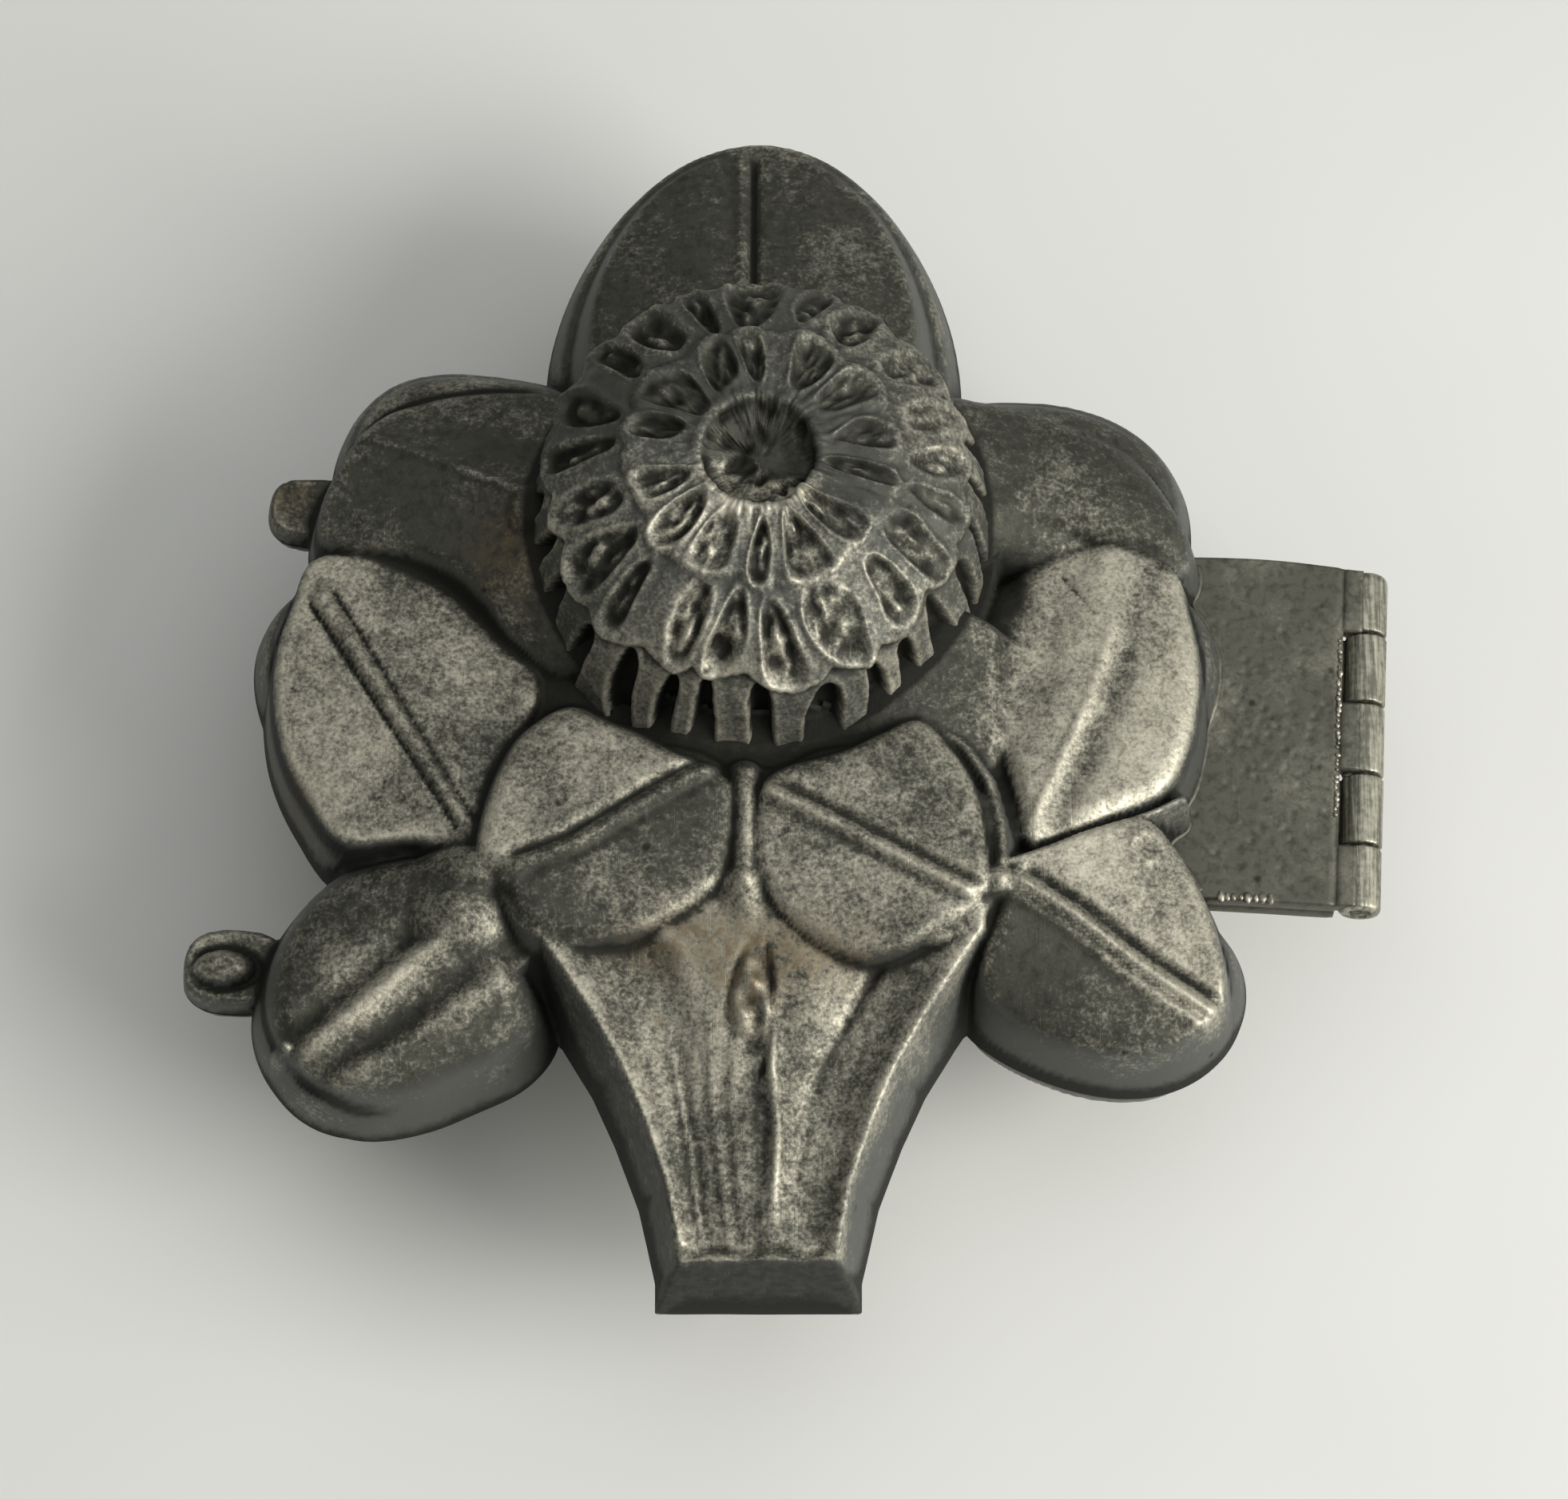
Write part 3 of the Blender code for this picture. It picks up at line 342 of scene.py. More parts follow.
def soft_noise(shape: tuple[int, int], sigma: float, seed: int) -> Array:
    """Seamless noise of about unit height whose bumps are sigma cells wide."""
    raw = np.random.default_rng(seed).standard_normal(shape)
    fx = np.fft.fftfreq(shape[0])[:, None]
    fy = np.fft.rfftfreq(shape[1])[None, :]
    soft = np.fft.irfft2(np.fft.rfft2(raw) * np.exp(-2 * (math.pi * sigma) ** 2 * (fx**2 + fy**2)), s=shape)
    return soft / soft.std()


def bump(x: Array, y: Array, centre: tuple[float, float], radii: tuple[float, float], turn: float = 0.0) -> Array:
    """Gaussian bump of unit height with two radii, its long axis turned by an angle in degrees."""
    c, s = math.cos(math.radians(turn)), math.sin(math.radians(turn))
    dx, dy = x - centre[0], y - centre[1]
    return np.exp(-(((dx * c + dy * s) / radii[0]) ** 2) - ((-dx * s + dy * c) / radii[1]) ** 2)


def line_distance(x: Array, y: Array, points: Sequence[tuple[float, float]]) -> tuple[Array, Array]:
    """Distance to an open polyline and the share of its length at the nearest place."""
    best = np.full(x.shape, 1e9)
    share = np.zeros(x.shape)
    lengths = [math.dist(a, b) for a, b in zip(points, points[1:])]
    total, run = sum(lengths), 0.0
    for (ax, ay), (bx, by), length in zip(points, points[1:], lengths):
        t = np.clip(((x - ax) * (bx - ax) + (y - ay) * (by - ay)) / length**2, 0, 1)
        gap = np.hypot(x - ax - t * (bx - ax), y - ay - t * (by - ay))
        nearer = gap < best
        best = np.where(nearer, gap, best)
        share = np.where(nearer, (run + t * length) / total, share)
        run += length
    return best, share


def highest(values: Array, reach: int) -> Array:
    """Highest value within a disc of that many cells round each place."""
    padded = np.pad(values, reach, mode="edge")
    rows, columns = values.shape
    result = values.copy()
    for i in range(-reach, reach + 1):
        span = int(math.sqrt(reach**2 - i**2))
        for j in range(-span, span + 1):
            result = np.maximum(result, padded[reach + i:reach + i + rows, reach + j:reach + j + columns])
    return result


# Relief of one half


class Plan:
    """A grid of plan positions in millimetres."""

    def __init__(self, low: tuple[float, float], high: tuple[float, float], step: float):
        self.step = step
        x = np.arange(low[0], high[0] + step, step)
        y = np.arange(low[1], high[1] + step, step)
        self.x, self.y = np.meshgrid(x, y, indexing="ij")

    def soften(self, values: Array, radius: float) -> Array:
        """Blur over a radius in millimetres."""
        return blur(values, radius / self.step)

    def filled(self, values: Array, radius: float) -> Array:
        """The field with every valley filled that a disc of that radius can't enter."""
        reach = round(radius / self.step)
        return -highest(-highest(values, reach), reach)

    def noise(self, radius: float, seed: int) -> Array:
        """Noise with bumps of that radius in millimetres, the same wherever it is asked for."""
        return soft_noise(self.x.shape, radius / self.step, seed)


@dataclass(frozen=True)
class LeafFrame:
    """A leaf's own coordinates over the plan.

    Args:
        along: Share of the way from foot to tip.
        across: Distance from the middle line, positive on its left, in millimetres.
        inside: Distance in from the outline of the shoulder, in millimetres.
        level: Size of the superellipse through each place, 1 on the outline, where it is one.
    """

    along: Array
    across: Array
    inside: Array
    level: Array | None = None


def leaf_frame(plan: Plan, leaf: Leaf) -> LeafFrame:
    """Works out a leaf's coordinates, with the distance read from its superellipse's gradient."""
    length = math.dist(leaf.foot, leaf.tip)
    ax, ay = (leaf.tip[0] - leaf.foot[0]) / length, (leaf.tip[1] - leaf.foot[1]) / length
    dx, dy = plan.x - leaf.foot[0], plan.y - leaf.foot[1]
    along = (dx * ax + dy * ay) / length
    across = -dx * ay + dy * ax
    bend = math.log(0.5) / math.log(leaf.widest)
    u = np.where(along > 0, 2 * np.abs(along) ** bend - 1, -1 + 2 * along)
    v = across / np.where(across > 0, leaf.left, leaf.right)
    level = (np.abs(u) ** leaf.fullness + np.abs(v) ** leaf.fullness) ** (1 / leaf.fullness)
    gx, gy = np.gradient(level, plan.step)
    inside = np.clip((1 - level) / np.maximum(np.hypot(gx, gy), 0.02), -40.0, 12.0)
    return LeafFrame(along, across, inside, level)


def smooth_loop(points: Points, steps: int = 6) -> Array:
    """Closed smooth curve through the points."""
    p = np.array(points, float)
    a, b, c, d = np.roll(p, 1, 0), p, np.roll(p, -1, 0), np.roll(p, -2, 0)
    t = np.linspace(0, 1, steps, endpoint=False)[None, :, None]
    a, b, c, d = (q[:, None, :] for q in (a, b, c, d))
    curve = 0.5 * (2 * b + (c - a) * t + (2 * a - 5 * b + 4 * c - d) * t**2 + (3 * b - a - 3 * c + d) * t**3)
    return curve.reshape(-1, 2)


def inside_loop(x: Array, y: Array, loop: Array) -> Array:
    """Distance in from a closed curve, negative outside it."""
    inside = np.zeros(x.shape, bool)
    gap = np.full(x.shape, 1e9)
    for (ax, ay), (bx, by) in zip(loop, np.roll(loop, -1, 0)):
        ex, ey = bx - ax, by - ay
        t = np.clip(((x - ax) * ex + (y - ay) * ey) / (ex * ex + ey * ey + 1e-12), 0, 1)
        gap = np.minimum(gap, (x - ax - t * ex) ** 2 + (y - ay - t * ey) ** 2)
        if ay != by:
            inside ^= ((ay > y) != (by > y)) & (x < ax + (y - ay) * ex / ey)
    return np.where(inside, 1.0, -1.0) * np.sqrt(gap)


def rib_frame(plan: Plan, face: Face) -> LeafFrame:
    """Coordinates along and across a face's midrib, and inwards from its edge."""
    inside = inside_loop(plan.x, plan.y, smooth_loop(face.outline))
    side = np.zeros(plan.x.shape)
    best = np.full(plan.x.shape, 1e9)
    for (ax, ay), (bx, by) in zip(face.rib, face.rib[1:]):
        ex, ey = bx - ax, by - ay
        t = np.clip(((plan.x - ax) * ex + (plan.y - ay) * ey) / (ex * ex + ey * ey), 0, 1)
        away = (plan.x - ax - t * ex) ** 2 + (plan.y - ay - t * ey) ** 2
        turn = (ex * (plan.y - ay) - ey * (plan.x - ax)) / math.hypot(ex, ey)
        nearer = away < best
        side = np.where(nearer, turn, side)
        best = np.where(nearer, away, best)
    (ax, ay), (bx, by) = face.rib[0], face.rib[-1]
    ex, ey = bx - ax, by - ay
    along = ((plan.x - ax) * ex + (plan.y - ay) * ey) / (ex * ex + ey * ey)
    return LeafFrame(along, side, inside)


def channel(across: Array, half: Array, depth: float, bead: Array, offset: Array | float) -> Array:
    """Cross-section of a midrib: a sunk channel with a rounded bead in it."""
    sunk = -depth * (1 - smooth_step(np.abs(across) / half, 0.72, 1.1))
    reach = np.clip(1 - ((across - offset) / bead) ** 2, 0, None)
    return sunk + 0.95 * bead * np.sqrt(reach)


def carving(face: Face, f: LeafFrame) -> Array:
    """Ribs, channels and folds of one face, added to its crown."""
    fade = smooth_step(f.along, -0.02, 0.06) * (1 - smooth_step(f.along, 0.98, 1.03))
    s, side = f.across, np.abs(f.across)
    if face.form is Form.RIBBED_PANEL:
        t = np.clip(f.along, 0, 1)
        return fade * channel(s, 1.02 + 0.42 * t, 0.55, 0.80 + 0.30 * t, -0.05) - 0.12 * smooth_step(s, 1.0, 1.4)
    if face.form is Form.VALLEY_PANEL:
        fade = smooth_step(f.along, -0.05, 0.12) * (1 - smooth_step(f.along, 0.72, 1.05))
        crest = 0.26 * hill(s, 0.3, 0.45) - 0.55 * hill(s, -1.6, 1.35)
        return crest * fade + 0.15 * hill(s, 2.6, 1.8) - 0.25 * hill(s, 5.2, 1.8)
    if face.form is Form.CUSHION:
        soft = smooth_step(f.along, -0.1, 0.25) * (1 - smooth_step(f.along, 0.9, 1.1))
        valley = -0.85 * hill(s, -1.6, 1.25) + 0.45 * hill(s, 0.6, 0.9)
        fold = 0.75 * hill(s - 7.2 + 3.0 * f.along, 0.0, 1.3) - 0.75 * hill(s - 4.2 + 1.4 * f.along, 0.0, 1.4)
        return (valley + fold) * soft
    if face.form is Form.RIBBED_CUSHION:
        ribs = 0.50 * hill(s, -1.35, 0.50) + 0.42 * hill(s, -2.75, 0.60)
        cut = -0.65 * hill(s, 0.0, 0.40) - 0.2 * hill(s, -2.05, 0.3)
        return (ribs + cut) * fade - 0.034 * np.clip(-s - 3.2, 0, None) ** 2
    if face.form is Form.MIDDLE:
        s = s if face.rib[0][0] > 0 else -s
        cut = -0.62 * hill(s, 0.0, 0.38) + 0.50 * hill(s, 1.15, 0.62)
        return (cut - 0.25 * hill(s, 2.0, 0.5)) * fade - 0.3 * smooth_step(s, 0.2, 0.8)
    if face.form is Form.ROOF:
        crest = 0.28 * hill(side, 0.0, 0.35) * fade
        return crest - 0.05 * np.clip(s - 6.0, 0, None) ** 2 - 0.16 * np.clip(side - 0.15, 0, 0.5)
    return 0.0 * s


def face_height(plan: Plan, face: Face, heights: tuple[float, float]) -> tuple[Array, LeafFrame]:
    """Height of one face and of the wall below its edge, and the face's coordinates.

    Args:
        plan: Grid to work on.
        face: The face.
        heights: Heights of its midrib at the foot and the tip.
    """
    f = rib_frame(plan, face)
    along = np.clip(f.along, -0.15, 1.15)
    crown = heights[0] + (heights[1] - heights[0]) * along
    crown = crown - face.rolls[0] * np.clip(f.across, 0, None) - face.rolls[1] * np.clip(-f.across, 0, None)
    crown = crown - face.bow * f.across**2 + carving(face, f)
    rounded = face.drop * np.clip(1 - f.inside / face.ease, 0, 1) ** 2
    return crown - rounded + face.steep * np.minimum(f.inside, 0), f


def top_height(plan: Plan, leaf: Leaf) -> Array:
    """The top leaf: two swelling halves with a groove and a ridge between them."""
    f = leaf_frame(plan, leaf)
    side = np.abs(f.across)
    crown = leaf.foot_z + (leaf.tip_z - leaf.foot_z) * np.clip(f.along, -0.1, 1.1)
    crown = crown + 1.1 * np.sin(np.clip(f.along, 0, 1) * math.pi) - 0.006 * side**2
    crown = crown + 0.35 * hill(side, 5.0, 3.2)
    groove = f.across - 0.55
    crown = crown - 0.85 * hill(groove, 0.0, 0.34) + 0.32 * hill(groove, 1.15, 0.5)
    wall = ramp(f.inside, ((-2.2, 0), (-0.2, 4.9), (0.3, 5.7), (1.5, 8.6), (3.6, 12.4)))
    return smooth_min(crown, wall, 0.9)


BAND = ((-2.2, 0.0), (-1.6, 2.4), (-0.75, 4.75), (-0.2, 5.2), (0.5, 5.35), (8.0, 5.6))


def plateau_level(plan: Plan) -> Array:
    """Size of the ellipse through each place that the plateau between the leaves ends at, 1 on it."""
    return np.hypot(plan.x / PLATEAU_RADII[0], (plan.y - PLATEAU_Y) / PLATEAU_RADII[1])


def band_height(plan: Plan, leaves: Iterable[Leaf]) -> Array:
    """Smooth outer band round all the leaves, and the low ground between them."""
    height = ramp((1.0 - plateau_level(plan)) * 30.0, BAND)
    for leaf in leaves:
        height = smooth_max(height, ramp(leaf_frame(plan, leaf).inside, BAND), 0.35)
    return height


def ground_height(plan: Plan, leaf: Leaf, edge: float, steep: float) -> Array:
    """Ground between the faces: a leaf's crown, lowered, that falls to its edge as its outline nears.

    Args:
        plan: Grid to work on.
        leaf: The leaf.
        edge: Height at the outline.
        steep: Slope of the wall outside it.
    """
    f = leaf_frame(plan, leaf)
    crown = leaf.foot_z + (leaf.tip_z - leaf.foot_z) * np.clip(f.along, 0, 1) - GROUND_DROP
    swell = np.clip(1 - np.clip(f.level, 0, 1) ** 3.2, 0, None) ** 0.62
    return edge + (crown - edge) * swell + steep * np.minimum(f.inside, 0)


def dome_curve(inset: float, turns: Array) -> tuple[Array, Array]:
    """Radius and height of the flower's smooth dome for angles from its foot to its top."""
    radius = FLOWER_R - inset
    r = BOWL_R + (radius - BOWL_R) * np.cos(turns) ** 0.9
    z = FLOWER_BASE + (FLOWER_TOP - FLOWER_BASE) * np.sin(turns) ** 0.85 - inset
    return r, z


def dome_height(plan: Plan, inset: float) -> Array:
    """Height of the flower's dome over the plan, leaning towards the top leaf."""
    turns = np.linspace(0.0, math.pi / 2, 60)
    r, z = dome_curve(inset, turns)
    radii = np.concatenate([[0.0], r[::-1], [r[0] + (0.4 if inset else DRAFT_RUN)]])
    heights = np.concatenate([[z[-1]], z[::-1], [FLOWER_FOOT]])
    height = np.full(plan.x.shape, FLOWER_BASE)
    for _ in range(6):
        centre = FLOWER_Y + FLOWER_LEAN * (np.clip(height, FLOWER_FOOT, FLOWER_TOP) - FLOWER_FOOT)
        away = np.hypot(plan.x, plan.y - centre)
        height = np.interp(away, radii, heights, right=-20.0)
    return height


def stem_height(plan: Plan, inset: float, root: float, end: float, detail: bool) -> Array:
    """Flared stem with drafted sides and a blunt end."""
    ys, halves = np.array(STEM_STATIONS[::-1]).T
    half = np.interp(plan.y, ys, halves) - inset
    fall = np.clip((plan.y - STEM_ROOT) / (STEM_END - STEM_ROOT), 0, 1)
    plain = root + (end - root) * fall - inset
    crown = stem_carving(plan, plain, half, fall) if detail else plain
    slope = (end - inset) / DRAFT_RUN
    reach = np.minimum(half - np.abs(plan.x), (plan.y - STEM_END - inset) / 1.2)
    wall = plain + slope * np.minimum(reach, STEM_TOP - inset - plan.y)
    blend = 0.25 if detail else 0.8
    return smooth_min(crown, wall + (0.12 if detail else 0.0), blend)


def stem_carving(plan: Plan, plain: Array, half: Array, fall: Array) -> Array:
    """Top of the upper half's stem: hollowed flanks, a ridge, fine strands, a crease and a fold.

    Args:
        plan: Grid to work on.
        plain: Height of the smooth stem.
        half: Half width of the stem.
        fall: Share of the way from its root to its end.
    """
    x = plan.x
    edge = np.abs(x) / np.maximum(half, 1)
    hollow = hill(edge, 0.60, 0.26) * (1.15 * (1 - fall) ** 0.6 + 0.15)
    crown = plain - hollow + 0.55 * smooth_step(edge, 0.78, 0.98)
    side = x - 1.3 + 0.25 * np.sin(plan.y * 0.35)
    ridge = 0.85 * hill(side, 0.0, 0.62) - 0.35 * hill(side, -1.4, 0.9)
    crown = crown + ridge * smooth_step(-plan.y, 25.5, 30.0) * (1 - 0.75 * smooth_step(-plan.y, 42.0, 48.5))
    strands = np.random.default_rng(71).normal(size=64)
    place = 32.0 + 17.0 * x / np.maximum(half, 4.0) + 0.7 * plan.noise(3.5, 72)
    strand = np.interp(place, np.arange(64), strands) * (0.6 + 0.5 * plan.noise(2.2, 73))
    crown = crown + 0.11 * strand * smooth_step(-plan.y, 28.0, 36.0) * (1 - smooth_step(edge, 0.72, 0.95))
    gap, share = line_distance(x, plan.y, STEM_CREASE)
    crown = crown - 0.62 * (1 - 0.75 * share) * hill(gap, 0.0, 0.55)
    gap, share = line_distance(x, plan.y, STEM_FOLD)
    crown = crown + 0.6 * (1 - share) * hill(gap, 0.0, 1.1)
    crown = crown + seed_relief(x, plan.y)
    # A smooth end with one groove across it
    crown = plain + (crown - plain) * (1 - smooth_step(-plan.y, -STEM_END - 1.6, -STEM_END - 0.4))
    gap = np.abs(plan.y - STEM_END - 0.75 - 0.25 * np.sin(x * 1.3))
    return crown - 0.55 * hill(gap, 0.0, 0.38)


def seed_relief(x: Array, y: Array) -> Array:
    """The pointed seed at the root of the stem, with the crease down its right side."""
    dx, dy = x + 0.6, y + 28.2
    width = 1.75 - 0.16 * dy
    level = np.hypot(dx / np.maximum(width, 0.3), dy / 3.9)
    lumps = 1 + 0.3 * np.sin(2.1 * x + 1.3 * y) + 0.25 * np.sin(2.7 * y - 0.8 * x)
    body = 0.75 * np.clip(1 - level**2, 0, None) ** 0.7 * lumps
    ring = -0.18 * hill(level, 1.12, 0.2)
    gap, _ = line_distance(x, y, ((0.7, -24.0), (1.15, -27.0), (1.0, -31.5), (0.4, -35.0)))
    return body + ring - 0.5 * hill(gap, 0.0, 0.3)


def body_height(plan: Plan, inset: float) -> Array:
    """Low plateau that joins the leaves."""
    top = SHOULDER + 0.8 - inset
    return smooth_min(top, (1.0 - plateau_level(plan)) * 60.0 + 0.5 - inset * 2.0, 0.8)


def calyx_height(plan: Plan, inset: float) -> Array:
    """Back of the flower on the lower half: twelve sepals round a flat that it rests on."""
    away = np.hypot(plan.x, plan.y - CALYX_Y)
    angle = np.arctan2(plan.y - CALYX_Y, plan.x)
    share = np.clip((away - REST_R) / (CALYX_R - REST_R), 0, 1)
    seam = np.abs(np.mod(angle * 12 / (2 * math.pi), 1.0) - 0.5) * 2
    away = away * (1 + 0.035 * share * (1 - share) * 4 * smooth_step(seam, 0.55, 1.0)) + inset
    height = ramp(away, ((REST_R, PARTING), (20.1, 19.2), (22.8, 16.0), (25.3, 11.0), (26.5, 7.0), (28.0, -2.0)))
    petal = 0.35 * share * (1 - share) * 4 * (1 - smooth_step(np.abs(seam - 1.0), 0.0, 0.28))
    if inset:
        return smooth_min(height, PARTING - 0.02, 1.0) - inset * (away < 40)
    return smooth_min(height, PARTING - 0.02, 0.35) - petal


@dataclass
class Relief:
    """A half's outer heights with what the material needs to know about them."""

    height: Array
    wear: Array
    painted_shade: Array
    stain: Array
    masks: dict[str, Array] = field(default_factory=dict)

    def lay(self, body: Array, wear: Array | float, blend: float, painted_shade: Array | None = None) -> None:
        """Joins a body to the relief, with its own wear and painted shade where it stands above."""
        over = body > self.height
        self.wear = np.where(over, wear, self.wear)
        if painted_shade is not None:
            self.painted_shade = np.where(over, painted_shade, self.painted_shade)
        self.height = smooth_max(self.height, body, blend)


def paint(relief: Relief, plan: Plan) -> dict[str, Array]:
    """Masks of the relief: hollows with their tarnish and painted shade, edges, steep walls and rubbed places, all
    from 0 to 1.
    """
    h = relief.height
    low = np.maximum(h, -1.0)
    fine = (plan.soften(low, 0.75) - h) / 0.55
    broad = (plan.soften(low, 2.6) - h) / 4.2
    gx, gy = np.gradient(h, plan.step)
    slope = plan.soften(np.hypot(gx, gy), 0.35)
    return {
        # Tarnish in the hollows, from the relief's concavity, with the painted shade added to it
        "tarnish_and_shade": np.clip(np.clip(np.maximum(fine, broad), 0, 1) + relief.painted_shade, 0, 1),
        "edge": np.clip((h - plan.soften(low, 0.5)) / 0.28, 0, 1) * (1 - np.clip(1.4 * relief.painted_shade, 0, 1)),
        "wall": smooth_step(slope, 0.9, 2.0),
        "wear": np.clip(plan.soften(relief.wear, 0.45), 0, 1),
        "stain": np.clip(relief.stain, 0, 1),
    }


Body = tuple[Array, Array | float, Array]  # height, wear and painted shade
BAND_WEAR = 0.08
GROUND_WEAR = 0.10
HEAD_WEAR = 0.2
STEM_HEIGHTS = {Side.UPPER: (11.6, 8.4), Side.LOWER: (9.6, 7.6)}  # at its root and its end
LOWER_HEIGHTS = {"side_left": (10.4, 7.8), "side_right": (10.4, 7.8), "low_left": (10.6, 7.4),
                 "low_right": (10.8, 7.4), "high_left": (11.6, 8.2), "high_right": (11.4, 8.0)}
LIP_STEEP = {"high_left": 2.3, "high_right": 1.7}  # slope of the wall under a high leaf's lower edge
# strength of the painted shadow on the wall under a high leaf's lower edge
LIP_SHADE = {"high_left": 0.50, "high_right": 0.85}
LIP_REACH = 4.0


def stem_body(plan: Plan, side: Side) -> Body:
    """The stem, with painted shade at its end and along its left wall on the upper half."""
    upper = side is Side.UPPER
    painted_shade = np.zeros(plan.x.shape)
    if upper:
        half = np.interp(plan.y, *np.array(STEM_STATIONS[::-1]).T)
        # Painted shade on the stem's end and along its left wall, which face away from the light
        painted_shade = 0.52 * (1 - smooth_step(plan.y, STEM_END - 0.4, STEM_END + 0.5))
        painted_shade = np.maximum(painted_shade, 0.34 * smooth_step(-plan.x - half, -0.5, 0.3))
    height = stem_height(plan, 0.0, *STEM_HEIGHTS[side], detail=upper)
    return height, 0.27 + 0.15 * smooth_step(plan.y, -40.0, -27.0), painted_shade


def face_bodies(plan: Plan, side: Side) -> tuple[list[Body], Array]:
    """The carved faces of one half, and the seams beside the upper half's, grooves with painted shade in them."""
    upper = side is Side.UPPER
    bodies, shaded_seams = [], np.zeros(plan.x.shape)
    for name, face in FACES.items():
        if not upper and name.startswith("mid"):
            continue
        height, f = face_height(plan, face, face.heights if upper else LOWER_HEIGHTS[name])
        wear, painted_shade = face.wear, np.zeros(plan.x.shape)
        if upper:
            wear = face_wear(plan, name, face, f)
            shaded_seams = np.maximum(shaded_seams, seam(plan, name, f))
        if upper and name in LIP_STEEP:
            under = smooth_step(-plan.y, -16.8, -15.2) * smooth_step(np.abs(plan.x), 17.0, 20.0)
            under = under * (1 - smooth_step(np.abs(plan.x), 34.5, 37.5))
            height = height + (face.steep - LIP_STEEP[name]) * (np.clip(-f.inside, 0, LIP_REACH) * under)
            # Painted shadow on the wall under the lip: darker and less rubbed
            dark = under * smooth_step(-f.inside, -0.1, 0.25)
            painted_shade = LIP_SHADE[name] * dark * (f.inside > -LIP_REACH)
            wear = wear - 0.3 * dark
        wear = wear + (0.05 - wear) * smooth_step(-f.inside, 0.15, 0.55)
        bodies.append((height, wear, painted_shade))
    return bodies, shaded_seams


def dress_upper(relief: Relief, plan: Plan, shaded_seams: Array) -> None:
    """Adds what lies round the flower's foot and between the faces: collar, ring, knots, marks and painted shade."""
    collar = collar_height(plan)
    covered = smooth_step(collar - relief.height, -0.5, 0.5)
    relief.lay(collar, 0.12 - 0.12 * smooth_step(-plan.x, -8.0, 4.0), 1.4)
    away = np.hypot(plan.x, plan.y - FLOWER_Y - 1.2)
    # Painted shade in the gap between the front of the flower's foot and the leaves, most on its left
    gap_shade = smooth_step(away, 19.5, 21.0) * (1 - smooth_step(away, 22.5, 26.0))
    gap_shade = 0.45 * gap_shade * smooth_step(FLOWER_Y - plan.y, 8.0, 14.0) * smooth_step(-plan.x, -12.0, -6.0)
    # Painted shade where the shell meets the flower's foot, and a painted shadow in the hollow between the flower and
    # the right side leaf; both are also less rubbed
    under = 1 - smooth_step(away, 20.2, 21.2)
    notch = bump(plan.x, plan.y, (20.9, 9.6), (2.4, 2.6))
    painted_shade = np.maximum(relief.painted_shade * (1 - covered), gap_shade)
    relief.painted_shade = np.maximum(painted_shade, np.maximum(under, np.clip(1.6 * notch, 0, 1)))
    relief.wear = relief.wear * (1 - under) * (1 - notch)
    relief.height = smooth_max(relief.height, 8.9 - 4.5 * np.clip(away - 21.3, 0, 12), 0.4)
    for height, wear in knots(plan):
        relief.lay(height, wear, 0.6)
    relief.height = relief.height + marks(plan) - 0.35 * shaded_seams
    # Painted shade along the seams
    relief.painted_shade = np.maximum(relief.painted_shade, 0.9 * shaded_seams)


def ear_height(plan: Plan, name: str, upper: bool) -> Array:
    """One ear, with a round boss on the upper half's low one."""
    f = leaf_frame(plan, EARS[name])
    top = np.full(plan.x.shape, EAR_THICK - 0.25 - (0.3 if name == "high_ear" else 0.0))
    if name == "low_ear" and upper:
        level = np.hypot((plan.x + 46.9) / 2.6, (plan.y + 23.2) / 1.6)
        top = top + 1.5 * np.sqrt(np.clip(1 - level**2, 0, None)) - 0.55 * hill(level, 1.2, 0.16)
    return smooth_min(top, ramp(f.inside, ((0.1, 0.0), (0.5, 2.0), (0.9, 3.4))), 0.4)


def outer_relief(plan: Plan, side: Side) -> Relief:
    """Outer surface of one half, leaves, head, stem and ears together."""
    upper = side is Side.UPPER
    leaves = UPPER_LEAVES if upper else LOWER_LEAVES
    zero = np.zeros(plan.x.shape)
    band = band_height(plan, (leaf for name, leaf in leaves.items() if not name.startswith("mid")))
    relief = Relief(band, zero + BAND_WEAR, zero, stains(plan) if upper else zero)
    faces, shaded_seams = face_bodies(plan, side)
    for name, leaf in leaves.items():
        if name != "top":
            middle = name.startswith("mid")
            ground = ground_height(plan, leaf, 11.6 if middle else SHOULDER, 2.6 if middle else 4.0)
            relief.lay(ground, GROUND_WEAR, 0.5)
    top = (top_height(plan, leaves["top"]), -0.08 + 0.14 * smooth_step(plan.x, -3.0, 3.0), zero)
    for height, wear, painted_shade in (stem_body(plan, side), top, *faces):
        relief.lay(height, wear, 0.22, painted_shade)
    depth = np.max([leaf_frame(plan, leaf).inside for leaf in leaves.values()], axis=0)
    floor = ramp(depth, ((-0.6, -20.0), (0.0, 4.6), (0.4, 6.0), (3.0, 16.0)))
    fill = np.minimum(plan.filled(relief.height, 1.8) - 0.9, floor)
    relief.height = smooth_max(relief.height, fill, 0.5)
    if upper:
        dress_upper(relief, plan, shaded_seams)
        head = np.minimum(dome_height(plan, SKIN_BED), FLOWER_TOP - BOWL_DEPTH - 1.3)
    else:
        head = calyx_height(plan, 0.0)
    relief.lay(head, HEAD_WEAR, 0.3)
    for name, wear in EAR_WEAR.items():
        relief.lay(ear_height(plan, name, upper), wear, 0.2)
    relief.height = relief.height + 0.03 * plan.noise(1.6, 11) + 0.010 * plan.noise(0.45, 12)
    if not upper:
        relief.height = np.minimum(relief.height, PARTING - 0.01)
    relief.masks = paint(relief, plan)
    return relief


